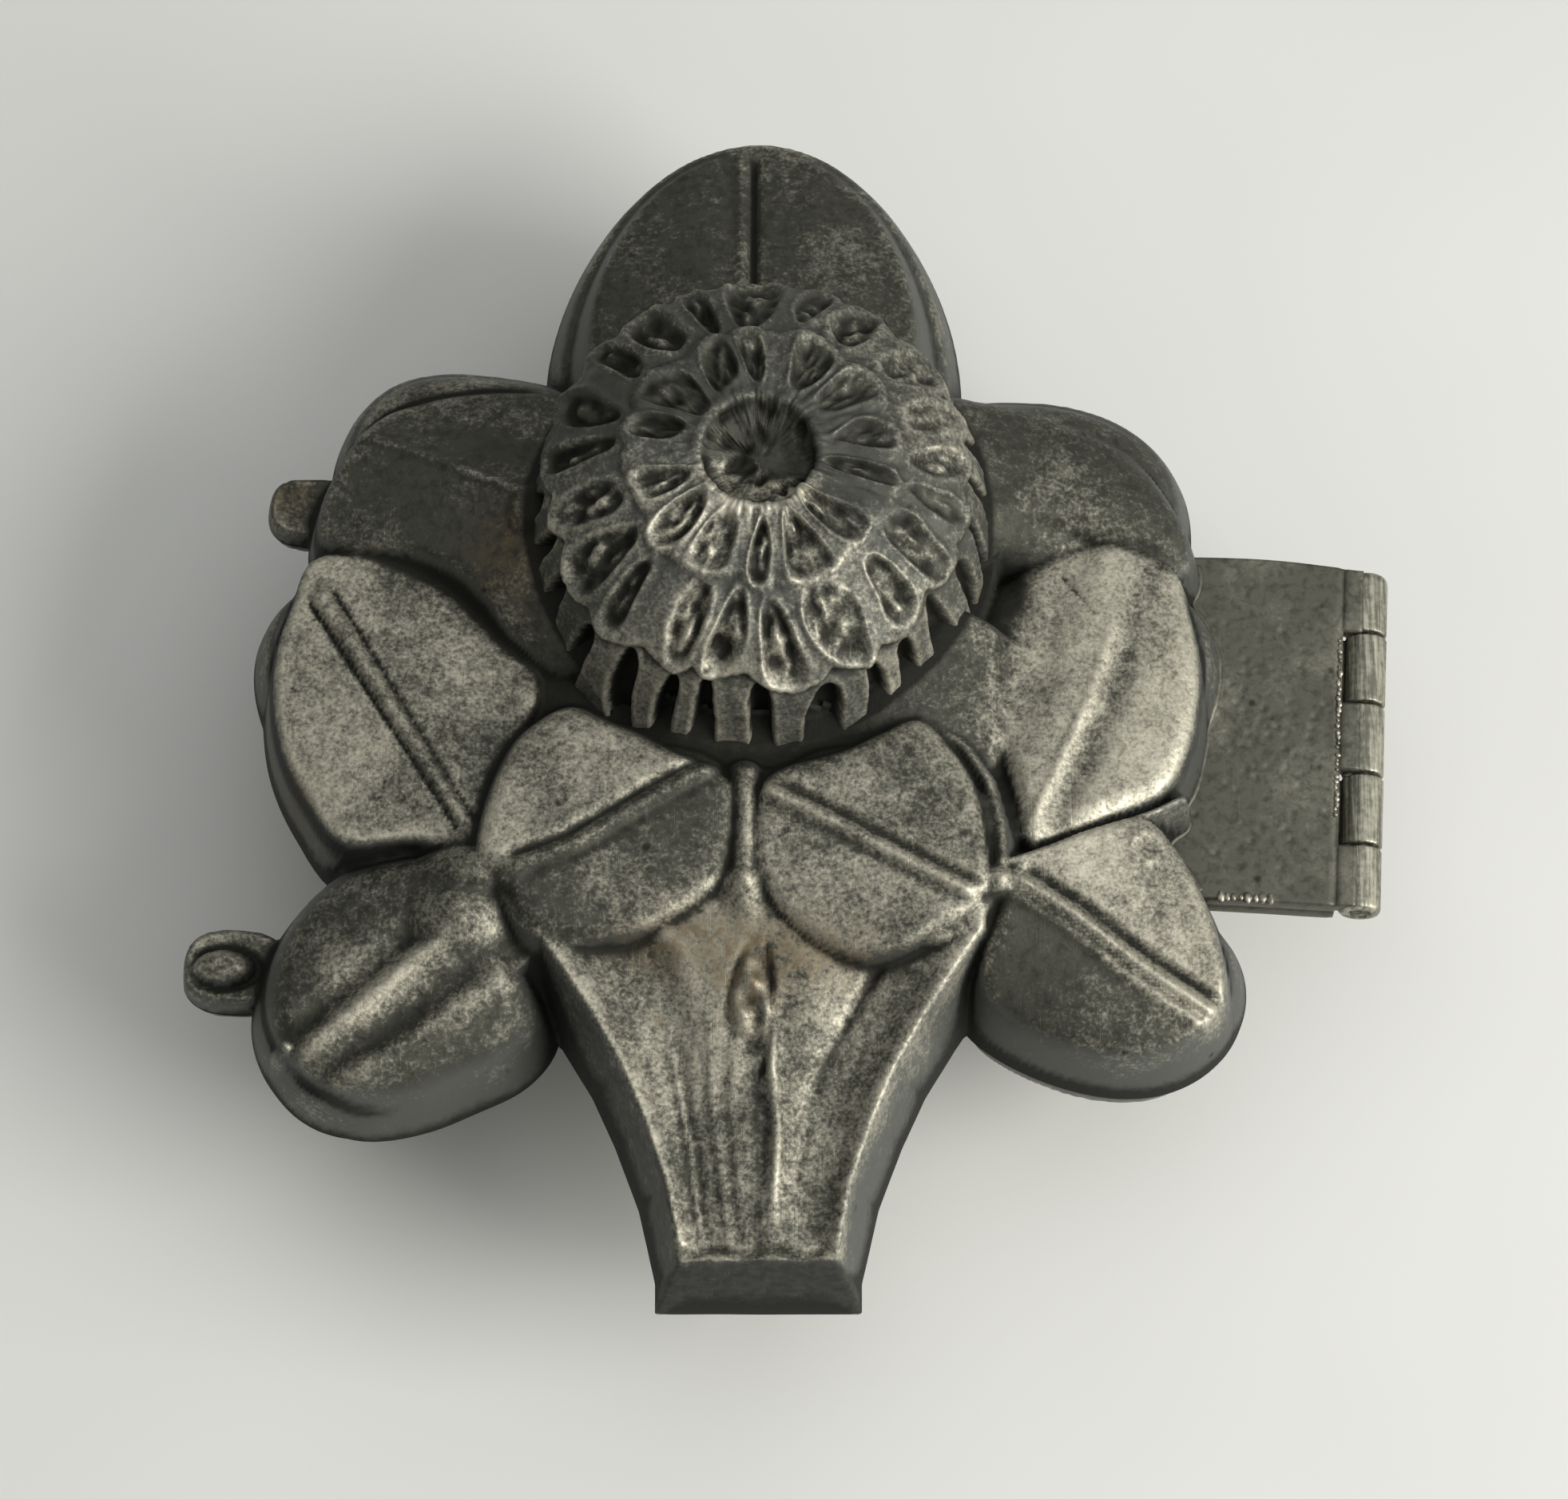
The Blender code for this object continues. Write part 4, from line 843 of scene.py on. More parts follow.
def face_wear(plan: Plan, name: str, face: Face, f: LeafFrame) -> Array:
    """How far one face of the upper half is rubbed, from place to place."""
    s = f.across
    if name == "low_right":
        return -0.09 + 0.58 * smooth_step(s, -3.4, -2.2) + 0.30 * bump(plan.x, plan.y, (37.0, -30.0), (4.0, 2.4), -30)
    if name == "low_left":
        worn = 0.06 + 0.26 * bump(plan.x, plan.y, (-35.0, -24.5), (6.0, 5.0))
        return worn + 0.24 * hill(s, 0.8, 1.3) + 0.16 * hill(s, 6.4, 1.6)
    if name == "mid_left":
        return 0.14 + 0.28 * smooth_step(s, -0.8, 1.2)
    if name == "side_left":
        return face.wear - 0.14 * hill(s, 0.0, 0.9)
    if name == "side_right":
        return 0.52 - 0.20 * hill(s, -1.7, 1.3) - 0.12 * smooth_step(s, 4.0, 8.0)
    return face.wear + 0.0 * s


def seam(plan: Plan, name: str, f: LeafFrame) -> Array:
    """Line between a face and the smooth band round it, where the photograph shows a dark one: a shallow groove with
    painted shade in it.
    """
    line = hill(f.inside, -0.25, 0.34)
    if name == "side_left":
        return line * smooth_step(-plan.x, 29.0, 33.0) * (1 - smooth_step(plan.y, 10.0, 12.5))
    if name == "low_left":
        notch = 1 - 0.8 * bump(plan.x, plan.y, (-41.5, -33.5), (1.6, 1.6))
        return 1.1 * line * notch * smooth_step(-plan.x - 0.5 * plan.y, 47.0, 55.0)
    if name == "high_left":
        return line * smooth_step(plan.y - 0.9 * plan.x, 45.0, 48.5) * (1 - smooth_step(plan.x, -18.0, -14.0))
    if name == "side_right":
        return 0.5 * line * smooth_step(plan.x, 30.0, 34.0) * (1 - smooth_step(plan.y, 8.0, 11.0))
    return 0.0 * line


def collar_height(plan: Plan) -> Array:
    """Ground that runs down from the front and right of the flower's foot to the leaves."""
    away = np.hypot(plan.x, plan.y - FLOWER_Y - 1.0)
    turn = np.degrees(np.arctan2(plan.y - FLOWER_Y - 1.0, plan.x))
    shown = smooth_step(turn, -166.0, -150.0) * (1 - smooth_step(turn, -26.0, -8.0))
    foot = 8.9 + 2.4 * smooth_step(turn, -128.0, -108.0) + 1.3 * smooth_step(turn, -72.0, -48.0)
    fall = 0.22 * np.clip(away - 19.0, 0, 11.0) + 1.5 * np.clip(away - 30.0, 0, None) + np.clip(plan.x - 20.5, 0, None)
    return foot - fall - 40.0 * (1 - shown)


def ridge(plan: Plan, points: Points, half: float, ends: tuple[float, float], fall: float) -> Array:
    """Rounded ridge along a line, with its crest's height at both ends."""
    gap, share = line_distance(plan.x, plan.y, points)
    crest = ends[0] + (ends[1] - ends[0]) * share
    return crest - fall * np.clip(gap / half, 0, None) ** 2


# Points, half width, heights at both ends, fall and wear
RIDGES = (
    (((14.6, -3.6), (17.7, -5.6), (19.9, -9.0), (20.9, -13.0), (21.0, -16.8)), 0.9, (11.2, 13.0), 2.2, 0.15),
    (((21.6, -16.6), (27.0, -14.4), (31.0, -12.6), (34.8, -10.9), (37.0, -9.6)), 0.65, (12.4, 8.8), 2.2, 0.25),
    (((-1.2, -8.9), (-1.1, -13.0), (-1.2, -18.4)), 0.85, (13.7, 13.1), 0.55, 0.24),
    (((-1.2, -18.4), (-1.1, -21.0), (-0.9, -25.0)), 2.1, (13.0, 10.4), 1.2, 0.22),
)


def knots(plan: Plan) -> list[tuple[Array, float]]:
    """Ridges and knobs where the leaves meet, each with its wear."""
    x, y = plan.x, plan.y
    disc = 12.3 - 0.55 * np.hypot((x + 25.6) / 2.3, (y + 20.4) / 1.9) ** 2
    knob = 13.1 - 1.1 * np.hypot((x - 20.6) / 1.6, (y + 18.2) / 1.5) ** 2
    meet = 12.9 - 0.9 * np.hypot((x + 24.4) / 2.6, (y + 17.2) / 1.8) ** 2
    boss = 14.6 - 1.2 * np.hypot((x + 20.0) / 1.9, (y - 15.6) / 2.3) ** 3
    tip = 8.3 - 1.6 * np.hypot((x + 40.6) / 1.0, (y + 32.0) / 0.9) ** 2
    return [
        (disc, 0.3), (knob, 0.35), (meet, 0.25), (boss, -0.1), (tip, 0.4),
        *((ridge(plan, *shape), wear) for *shape, wear in RIDGES),
    ]


def marks(plan: Plan) -> Array:
    """Small marks of casting and use: scratches, a worn dent and the seams beside the bar."""
    x, y = plan.x, plan.y
    gap, _ = line_distance(x, y, ((26.8, 11.2), (29.6, 7.4)))
    extra = -0.3 * hill(gap, 0.0, 0.16)
    gap, _ = line_distance(x, y, ((-26.4, -5.6), (-25.8, -8.0), (-25.9, -9.0)))
    extra -= 0.2 * hill(gap, 0.0, 0.15)
    level = np.hypot(x - 33.6, y + 14.6)
    return extra + 0.16 * hill(level, 1.3, 0.3) - 0.1 * np.exp(-(level**2))


def stains(plan: Plan) -> Array:
    """Brown stains of the photograph: on the stem's root, beside the flower and on the high ear."""
    x, y = plan.x, plan.y
    stain = 0.9 * bump(x, y, (-1.5, -24.0), (7.5, 3.0)) + 0.8 * bump(x, y, (-1.0, -27.5), (2.6, 3.4))
    stain += 0.7 * bump(x, y, (-6.5, -23.6), (4.0, 1.6), 12) + 0.45 * bump(x, y, (6.0, -25.5), (4.0, 2.6))
    stain += 0.8 * bump(x, y, (-8.4, -30.3), (0.55, 0.55)) + 0.6 * bump(x, y, (-22.0, 11.5), (3.2, 4.6))
    return stain + 0.8 * bump(x, y, (-43.2, 22.0), (2.6, 2.4)) + 0.5 * bump(x, y, (-40.5, -9.5), (2.5, 2.2))


def inner_relief(plan: Plan, side: Side) -> Array:
    """Hollow of one half, a wall's thickness inside the outer relief."""
    upper = side is Side.UPPER
    height = body_height(plan, WALL)
    for name, leaf in (UPPER_LEAVES if upper else LOWER_LEAVES).items():
        f = leaf_frame(plan, leaf)
        crown = leaf.foot_z + (leaf.tip_z - leaf.foot_z) * np.clip(f.along, 0, 1) - WALL - 0.02 * f.across**2
        crown = crown - 0.55 * hill(f.across, 0.0, 0.8) * smooth_step(f.along, 0.1, 0.3)
        steep = 4.6 if name.startswith("mid") else 2.3
        wall = (f.inside - WALL + DRAFT_RUN) * steep
        height = smooth_max(height, smooth_min(crown, wall, 0.9), 0.5)
    height = smooth_max(height, stem_height(plan, WALL, *STEM_HEIGHTS[side], detail=False), 0.5)
    head = dome_height(plan, WALL + 1.2) if upper else calyx_height(plan, WALL)
    if upper:
        angle = np.arctan2(plan.y - FLOWER_Y - 3.5, plan.x)
        away = np.hypot(plan.x, plan.y - FLOWER_Y - 3.5)
        rings = np.cos(24 * angle) * smooth_step(away, 4.0, 8.0) * 0.22 + 0.18 * np.cos(away * 1.7)
        head = head + rings * smooth_step(head, 4.0, 9.0)
        ring = np.hypot(plan.x, plan.y - FLOWER_Y - 1.2)
        height = smooth_min(height, ramp(ring, ((15.5, 30.0), (16.8, 7.1), (22.4, 7.1), (25.0, 30.0))), 0.6)
    height = smooth_max(height, head, 0.6)
    return height + 0.02 * plan.noise(1.5, 21)


# Meshes


def mesh_from_arrays(name: str, points: Array, quads: Array, values: dict[str, Array] | None = None) -> bpy.types.Mesh:
    """Makes a mesh of quads (or triangles) from arrays.

    Args:
        name: Name of the mesh.
        points: Vertex positions, one row each.
        quads: Vertex numbers of each face, one row each.
        values: Named float attributes, one value for each vertex.
    """
    mesh = bpy.data.meshes.new(name)
    sides = quads.shape[1]
    mesh.vertices.add(len(points))
    mesh.vertices.foreach_set("co", np.ascontiguousarray(points, np.float32).ravel())
    mesh.loops.add(quads.size)
    mesh.loops.foreach_set("vertex_index", np.ascontiguousarray(quads, np.int32).ravel())
    mesh.polygons.add(len(quads))
    mesh.polygons.foreach_set("loop_start", np.arange(0, quads.size, sides, dtype=np.int32))
    mesh.update(calc_edges=True)
    for key, data in (values or {}).items():
        layer = mesh.attributes.new(key, "FLOAT", "POINT")
        layer.data.foreach_set("value", np.ascontiguousarray(data, np.float32).ravel())
    return mesh


def grid_quads(rows: int, columns: int, closed: tuple[bool, bool], flip: bool = False) -> Array:
    """Faces of a grid of points, numbered row by row, that may close on itself in each direction."""
    i, j = np.meshgrid(np.arange(rows - (not closed[0])), np.arange(columns - (not closed[1])), indexing="ij")
    below, right = (i + 1) % rows, (j + 1) % columns
    a, b, c, d = i * columns + j, below * columns + j, below * columns + right, i * columns + right
    return np.stack([a, d, c, b] if flip else [a, b, c, d], -1).reshape(-1, 4)


MASKS = ("tarnish_and_shade", "edge", "wall", "wear", "stain")


def write_mesh(bm: bmesh.types.BMesh, mesh: bpy.types.Mesh | str) -> bpy.types.Mesh:
    """Writes a bmesh into a mesh, or into a new one of that name, and frees it."""
    if isinstance(mesh, str):
        mesh = bpy.data.meshes.new(mesh)
    bm.to_mesh(mesh)
    bm.free()
    return mesh


def warn_if_open(bm: bmesh.types.BMesh, name: str) -> None:
    """Logs how many edges don't have exactly two faces."""
    open_edges = sum(not e.is_manifold for e in bm.edges)
    if open_edges:
        LOG.warning("%s has %d edges that aren't closed", name, open_edges)


def surface_mesh(name: str, plan: Plan, height: Array, masks: dict[str, Array], flip: bool) -> bpy.types.Mesh:
    """Grid surface over the plan, only where it may stand above the rim."""
    keep = np.maximum.reduce([height[:-1, :-1], height[1:, :-1], height[:-1, 1:], height[1:, 1:]]) > CLIP
    i, j = np.nonzero(keep)
    columns = height.shape[1]
    quads = np.stack([i * columns + j, (i + 1) * columns + j, (i + 1) * columns + j + 1, i * columns + j + 1], 1)
    used, index = np.unique(quads, return_inverse=True)
    quads = index.reshape(quads.shape)
    if flip:
        quads = quads[:, ::-1]
    x, y = (np.clip(axis.ravel()[used], low, high) for axis, low, high in ((plan.x, *REACH_X), (plan.y, *REACH_Y)))
    points = np.stack([x, y, height.ravel()[used]], 1)
    return mesh_from_arrays(name, points, quads, {key: masks[key].ravel()[used] for key in MASKS})


def circle_edges(bm: bmesh.types.BMesh, centre: tuple[float, float], radius: float, steps: int) -> list:
    """Adds a ring of edges on the rim plane."""
    turn = [2 * math.pi * k / steps for k in range(steps)]
    ring = [bm.verts.new((centre[0] + radius * math.cos(a), centre[1] + radius * math.sin(a), CLIP)) for a in turn]
    return [bm.edges.new((ring[k], ring[(k + 1) % steps])) for k in range(steps)]


def hollow_masks(plan: Plan, hollow: Array) -> dict[str, Array]:
    """Masks of the hollow: dull, with tarnish and painted shade that grow where it is deep."""
    masks = {key: np.zeros(hollow.shape) for key in MASKS}
    masks["tarnish_and_shade"] = np.clip((plan.soften(np.maximum(hollow, -1), 2.5) - hollow) / 3.0, 0, 1)
    masks["wear"] = np.full(hollow.shape, 0.35)
    return masks


def cut_at_rim(mesh: bpy.types.Mesh) -> bpy.types.Mesh:
    """New mesh of what stands above the rim plane; the mesh given is used up."""
    bm = bmesh.new()
    bm.from_mesh(mesh)
    bmesh.ops.bisect_plane(bm, geom=bm.verts[:] + bm.edges[:] + bm.faces[:], dist=1e-4,
                           plane_co=(0, 0, CLIP), plane_no=(0, 0, 1), clear_inner=True)
    bpy.data.meshes.remove(mesh)
    return write_mesh(bm, "cut")


def fill_rim(bm: bmesh.types.BMesh, socket: tuple[float, float] | None) -> None:
    """Closes the gap between outer surface and hollow, leaving a tapered blind socket where one is asked for."""
    rim = [edge for edge in bm.edges if edge.is_boundary]
    hole = circle_edges(bm, socket, CONE_R + GAP, 32) if socket else []
    bmesh.ops.triangle_fill(bm, edges=rim + hole, use_beauty=True, normal=(0, 0, -1))
    if socket:
        ring = [edge.verts[0] for edge in hole]
        inner = [tuple(centre + (here - centre) * CONE_TAPER for centre, here in zip(socket, v.co)) for v in ring]
        top = [bm.verts.new((x, y, CONE_HEIGHT + GAP)) for x, y in inner]
        for k in range(len(ring)):
            bm.faces.new((ring[k - 1], ring[k], top[k], top[k - 1]))
        bm.faces.new(top)


def shell_mesh(name: str, side: Side, socket: tuple[float, float] | None) -> bpy.types.Mesh:
    """Closed mesh of one half: outer relief, hollow and the rim between them."""
    outer = Plan(PLAN_LOW, PLAN_HIGH, OUTER_STEP)
    inner = Plan(PLAN_LOW, PLAN_HIGH, INNER_STEP)
    relief = outer_relief(outer, side)
    hollow = inner_relief(inner, side)
    hollow = np.minimum(hollow, sample(outer, relief.height, inner.x, inner.y) - LEAST_WALL)
    bm = bmesh.new()
    for mesh in (surface_mesh(name, outer, relief.height, relief.masks, False),
                 surface_mesh(name + "_hollow", inner, hollow, hollow_masks(inner, hollow), True)):
        part = cut_at_rim(mesh)
        bm.from_mesh(part)
        bpy.data.meshes.remove(part)
    fill_rim(bm, socket)
    bmesh.ops.recalc_face_normals(bm, faces=bm.faces)
    for edge in bm.edges:
        level = all(abs(v.co.z - CLIP) < 1e-3 for v in edge.verts)
        edge.smooth = not (level and any(abs(f.normal.z) < 0.98 for f in edge.link_faces))
    warn_if_open(bm, name)
    for v in bm.verts:
        v.co = (v.co.x * MM, v.co.y * MM, (PARTING + side.value * v.co.z) * MM)
    if side is Side.LOWER:
        bmesh.ops.reverse_faces(bm, faces=bm.faces)
    return write_mesh(bm, name)


def revolved(name: str, profile: Sequence[tuple[float, float]], steps: int, place: Matrix) -> bpy.types.Mesh:
    """Closed ring or knob from a profile of (radius, height) turned about Z and then placed."""
    outline = np.array(profile, float)
    turn = np.linspace(0, 2 * math.pi, steps, endpoint=False)
    points = np.stack([np.outer(np.cos(turn), outline[:, 0]), np.outer(np.sin(turn), outline[:, 0]),
                       np.outer(np.ones(steps), outline[:, 1])], -1)
    mesh = mesh_from_arrays(name, points.reshape(-1, 3) * MM, grid_quads(steps, len(outline), (True, True)))
    mesh.transform(place)
    return mesh


# Flower head


@dataclass(frozen=True)
class Tier:
    """One ring of petals, between two distances down the dome from the rim of the bowl.

    Args:
        start: Distance down the dome at which it starts.
        end: Distance at which it ends.
        petals: Number of petals round the head.
        shift: Turn of the ring, as a share of one petal.
        step: How far the petals' tips stand out; the last ring has none and is cut as slots.
        pit: Depth of the hollows.
        length: Half length of a hollow, as a share of the ring's width.
        breadth: Half width of a hollow, as a share of half a petal.
        seed: Seed of the differences between its petals.
    """

    start: float
    end: float
    petals: int
    shift: float
    step: float
    pit: float
    length: float
    breadth: float
    seed: int


OVAL = 2.4  # exponent of a petal's outline
TIERS = (
    Tier(0.5, 7.2, 14, 0.5, 0.55, 0.95, 0.46, 0.70, 3),
    Tier(7.2, 15.7, 21, 0.0, 1.05, 1.15, 0.45, 0.70, 5),
    Tier(15.7, 27.5, 28, 1 / 3, 0.0, 1.85, 0.50, 0.47, 8),
)


def petal_relief(angle: Array, down: Array) -> tuple[Array, Array]:
    """Height of the petals over the dome and the share of each place that lies in a petal's hollow.

    Each petal is an oval hollow with a raised rim, lumps on its floor and a lip at its tip; smooth ribs
    part it from the next. Angles and distances down the dome are warped so that no two are alike.
    """
    relief, hollows = np.zeros(angle.shape), np.zeros(angle.shape)
    sway = soft_noise(angle.shape, 11.0, 61)
    sag = soft_noise(angle.shape, 14.0, 62)
    grit = soft_noise(angle.shape, 1.7, 63)
    for tier in TIERS:
        rng = np.random.default_rng(tier.seed)
        shift, blob_u, blob_v = (rng.uniform(-r, r, tier.petals) for r in (0.13, 0.25, 0.16))
        deep, wide, tall = (rng.uniform(a, b, tier.petals) for a, b in ((0.45, 1.15), (0.78, 1.12), (0.80, 1.08)))
        deep = deep if tier.step else 0.8 + 0.3 * deep
        # Strength of the painted shade in each slot of the last ring, at random
        shade = rng.uniform(0.25, 1.0, tier.petals) if not tier.step else np.ones(tier.petals)
        next_u, next_v = rng.uniform(-0.3, 0.3, tier.petals), rng.uniform(-0.30, -0.05, tier.petals)
        turn = (angle / (2 * math.pi) + 0.25) * tier.petals + tier.shift + 0.13 * sway
        which = np.floor(turn).astype(int) % tier.petals
        u = (turn - np.floor(turn) - 0.5) * 2 + shift[which]
        v = (down - tier.start + 0.42 * sag) / (tier.end - tier.start)
        scallop = 1.0 - 0.12 * np.abs(u) ** 2
        rise = tier.step * np.clip(v, 0, 1) ** 1.6 * ((v >= 0) & (v <= scallop))
        level = (np.abs(u / (tier.breadth * wide[which])) ** OVAL
                 + np.abs((v - 0.50) / (tier.length * tall[which])) ** OVAL) ** (1 / OVAL)
        floor = np.clip(1 - level**3, 0, None) ** (0.6 if tier.step else 0.4)
        rim = 0.22 * hill(level, 1.08, 0.16)
        lump = 0.55 * np.exp(-(((u - blob_u[which]) / 0.26) ** 2) - (((v - 0.62 - blob_v[which]) / 0.12) ** 2))
        lump += 0.40 * np.exp(-(((u - next_u[which]) / 0.22) ** 2) - (((v - 0.5 - next_v[which]) / 0.10) ** 2))
        lump = lump if tier.step else 0.1 * lump
        within = (v > -0.06) & (v < 1.06)
        depth = tier.pit * deep[which]
        crumbs = 0.20 * floor * grit * min(tier.step + 0.2, 1.0)
        relief += rise + (depth * (lump - 1.0) * floor + rim + crumbs) * within
        hollows = np.maximum(hollows, np.clip(1.25 * floor, 0, 1) * within * shade[which])
    return relief, hollows


def right_side(a: Array) -> Array:
    """Share of the head's right side, where its petals are rubbed down."""
    return np.clip(hill(a, math.radians(375), 0.75) + hill(a, math.radians(15), 0.75), 0, 1)


def head_masks(a: Array, down: Array, relief: Array, hollows: Array) -> dict[str, Array]:
    """Masks of the flower's skin.

    Args:
        a: Angle round the head.
        down: Distance down the dome from the rim of the bowl.
        relief: Height over the smooth dome.
        hollows: Share of each place that lies in a petal's hollow.
    """
    inside = smooth_step(-down, 0.3, 1.0)
    slots = smooth_step(down, 15.4, 17.0)
    # Painted light and shade: the hollows and wear on the left side are darkened as painted shade, the wear on the
    # front is raised as painted light, and the slot floors are darkened as painted shade
    left = np.clip(-np.cos(a) * 0.9 + 0.35 * np.sin(a), 0, 1)
    front = smooth_step(-np.sin(a + 0.35), -0.2, 0.9) * (1 - slots)
    deep = hollows * (0.10 + 0.22 * left + 0.95 * slots)
    tarnish_and_shade = np.clip((blur_ring(relief, 3.5) - relief) / 0.62 + deep + 0.25 * inside, 0, 1)
    wear = 0.03 + 0.34 * front - 0.08 * left - 0.14 * inside
    wear = wear + 0.36 * slots * (1 - hollows) * smooth_step(-np.sin(a), 0.0, 0.8)
    wear = wear + 0.20 * right_side(a) * smooth_step(down, 3.0, 8.0)
    for turn, reach in ((-48.0, 0.30), (-112.0, 0.22)):
        near = np.abs(np.mod(a - math.radians(turn) + math.pi, 2 * math.pi) - math.pi)
        wear = wear + 0.75 * np.exp(-((near / reach) ** 2) - (((down + 0.2) / 1.1) ** 2))
    ribs = (1 - hollows) * (1 - inside) * (0.35 + 0.3 * slots + 0.3 * front)
    return {
        "tarnish_and_shade": tarnish_and_shade,
        "edge": np.clip((relief - blur_ring(relief, 2.2)) / 0.26, 0, 1),
        "wall": np.clip(ribs, 0, 1),
        "wear": wear,
        "stain": 0.30 * smooth_step(tarnish_and_shade, 0.4, 1.0),
    }


HEAD_STEPS = 600  # points round the head
HEAD_ROWS = 150
UNDER_ROWS = 7
BOWL_STEPS = 40
HEAD_FOOT = 3.6


@dataclass(frozen=True)
class Section:
    """Section of the smooth head from the middle of its bowl to its foot, in evenly spaced rows.

    Args:
        run: Distance of each row from the middle of the bowl.
        down: Distance from the rim of the bowl, negative inside it.
        radius: Radius of each row.
        height: Height of each row.
        out: Radial part of the outward normal.
        up: Upward part of the normal.
    """

    run: Array
    down: Array
    radius: Array
    height: Array
    out: Array
    up: Array


def head_section() -> Section:
    """The smooth head's section: its bowl, its dome and a foot that runs out below."""
    r, z = dome_curve(0.0, np.linspace(math.pi / 2, 0, 400))
    bowl_r = np.linspace(0, BOWL_R, BOWL_STEPS, endpoint=False)
    bowl_z = FLOWER_TOP - BOWL_DEPTH * (1 - (bowl_r / BOWL_R) ** 3.0)
    radii = np.concatenate([bowl_r, r, [r[-1] + 0.75]])
    heights = np.concatenate([bowl_z, z, [HEAD_FOOT]])
    length = np.concatenate([[0], np.cumsum(np.hypot(np.diff(radii), np.diff(heights)))])
    run = np.linspace(0, length[-1], HEAD_ROWS)
    radius, height = np.interp(run, length, radii), np.interp(run, length, heights)
    ahead_r, ahead_z = np.gradient(radius), np.gradient(height)
    size = np.hypot(ahead_r, ahead_z)
    return Section(run, run - length[BOWL_STEPS], radius, height, -ahead_z / size, ahead_r / size)


def skin_relief(section: Section, a: Array, down: Array) -> tuple[Array, Array]:
    """Height over the smooth head, petals, bowl and all, and the share that lies in the petals' hollows."""
    relief, hollows = petal_relief(a, down)
    relief = relief * (1 - 0.45 * right_side(a) * smooth_step(down, 5.0, 9.0))
    rim = 0.30 * hill(down, 0.2, 0.6) * (1 + 0.4 * np.sin(3 * a + 0.5) + 0.4 * np.sin(7 * a))
    inside = smooth_step(-down, 0.3, 1.0)
    plan = Plan((-7.0, -7.0), (7.0, 7.0), 0.15)
    x, y = section.radius * np.cos(a), section.radius * np.sin(a)
    reach = np.clip(6.5 / np.maximum(np.hypot(x, y), 0.1), 0, 1)
    pocks, lumps = (sample(plan, plan.noise(radius, seed), x * reach, y * reach)
                    for radius, seed in ((0.35, 31), (0.9, 34)))
    pocks = np.clip(pocks - 0.2, 0, 2.5) * -0.42 * inside
    lumps = 0.32 * lumps * inside
    rough = 0.05 * soft_noise(a.shape, 2.2, 32) + 0.07 * soft_noise(a.shape, 6.0, 33)
    relief = relief + rim + pocks + lumps + rough * smooth_step(section.run, 2.0, 5.0)
    relief = relief * (1 - smooth_step(section.run, section.run[-1] - 1.6, section.run[-1] - 0.2))
    relief = relief + 1.3 * smooth_step(down, 18.5, 26.0) * smooth_step(-np.sin(a), 0.25, 0.8)
    return blur_ring(relief, 0.75), hollows


def flower_skin() -> bpy.types.Mesh:
    """Fine skin of the flower head: a bowl and three rings of hollow petals, closed underneath."""
    section = head_section()
    angle = np.linspace(0, 2 * math.pi, HEAD_STEPS, endpoint=False)
    a, down = np.meshgrid(angle, section.down, indexing="ij")
    relief, hollows = skin_relief(section, a, down)
    # The underside lies in the shell's wall
    under_r, under_z = dome_curve(UNDER_INSET, np.linspace(0, math.pi / 2, UNDER_ROWS))
    under_z = np.minimum(under_z, FLOWER_TOP - BOWL_DEPTH - 1.7)
    under_r[-1], under_z[0] = 0.0, HEAD_FOOT
    below = HEAD_STEPS, UNDER_ROWS
    ring_r = np.concatenate([section.radius + relief * section.out, np.broadcast_to(under_r, below)], axis=1)
    ring_z = np.concatenate([section.height + relief * section.up, np.broadcast_to(under_z, below)], axis=1)
    ring_z = np.minimum(ring_z - 0.5 * smooth_step(ring_z, 20.0, FLOWER_TOP), FLOWER_TOP - 0.02)
    ring_z = np.maximum(ring_z, SKIN_FOOT)
    lean = FLOWER_Y + FLOWER_LEAN * (ring_z - FLOWER_FOOT)
    points = np.stack([ring_r * np.cos(angle)[:, None], lean + ring_r * np.sin(angle)[:, None], ring_z + PARTING], -1)
    quads = grid_quads(HEAD_STEPS, HEAD_ROWS + UNDER_ROWS, (True, False), flip=True)
    values = {key: np.concatenate([np.broadcast_to(data, relief.shape), np.zeros(below)], axis=1)
              for key, data in head_masks(a, down, relief, hollows).items()}
    mesh = mesh_from_arrays("flower_head", points.reshape(-1, 3) * MM, quads, values)
    close_poles(mesh)
    return mesh


def blur_ring(values: Array, sigma: float) -> Array:
    """Blur of a field that closes on itself along its first axis."""
    pad = int(4 * sigma) + 1
    padded = np.concatenate([values[-pad:], values, values[:pad]], axis=0)
    return blur(padded, sigma)[pad:-pad]


def close_poles(mesh: bpy.types.Mesh) -> None:
    """Welds the rows that shrink to a point and turns every face outwards."""
    bm = bmesh.new()
    bm.from_mesh(mesh)
    bmesh.ops.remove_doubles(bm, verts=bm.verts, dist=1e-6)
    bmesh.ops.recalc_face_normals(bm, faces=bm.faces)
    warn_if_open(bm, mesh.name)
    write_mesh(bm, mesh)


# Hinge


def hinge_place() -> Matrix:
    """The hinge's own frame in metres: Y along the pin, X away from the mould."""
    return Matrix.Translation((HINGE_X * MM, HINGE_Y * MM, PARTING * MM)) @ Matrix.Rotation(-HINGE_SKEW, 4, "Z")


def knuckle_spans() -> list[tuple[float, float]]:
    """Start and end of the five knuckles along the pin, from the stem's end."""
    inner = (HINGE_LENGTH - 2 * END_KNUCKLE) / 3
    marks = [-HINGE_LENGTH / 2, -HINGE_LENGTH / 2 + END_KNUCKLE]
    marks += [marks[1] + inner, marks[1] + 2 * inner, HINGE_LENGTH / 2 - END_KNUCKLE, HINGE_LENGTH / 2]
    return list(zip(marks, marks[1:]))


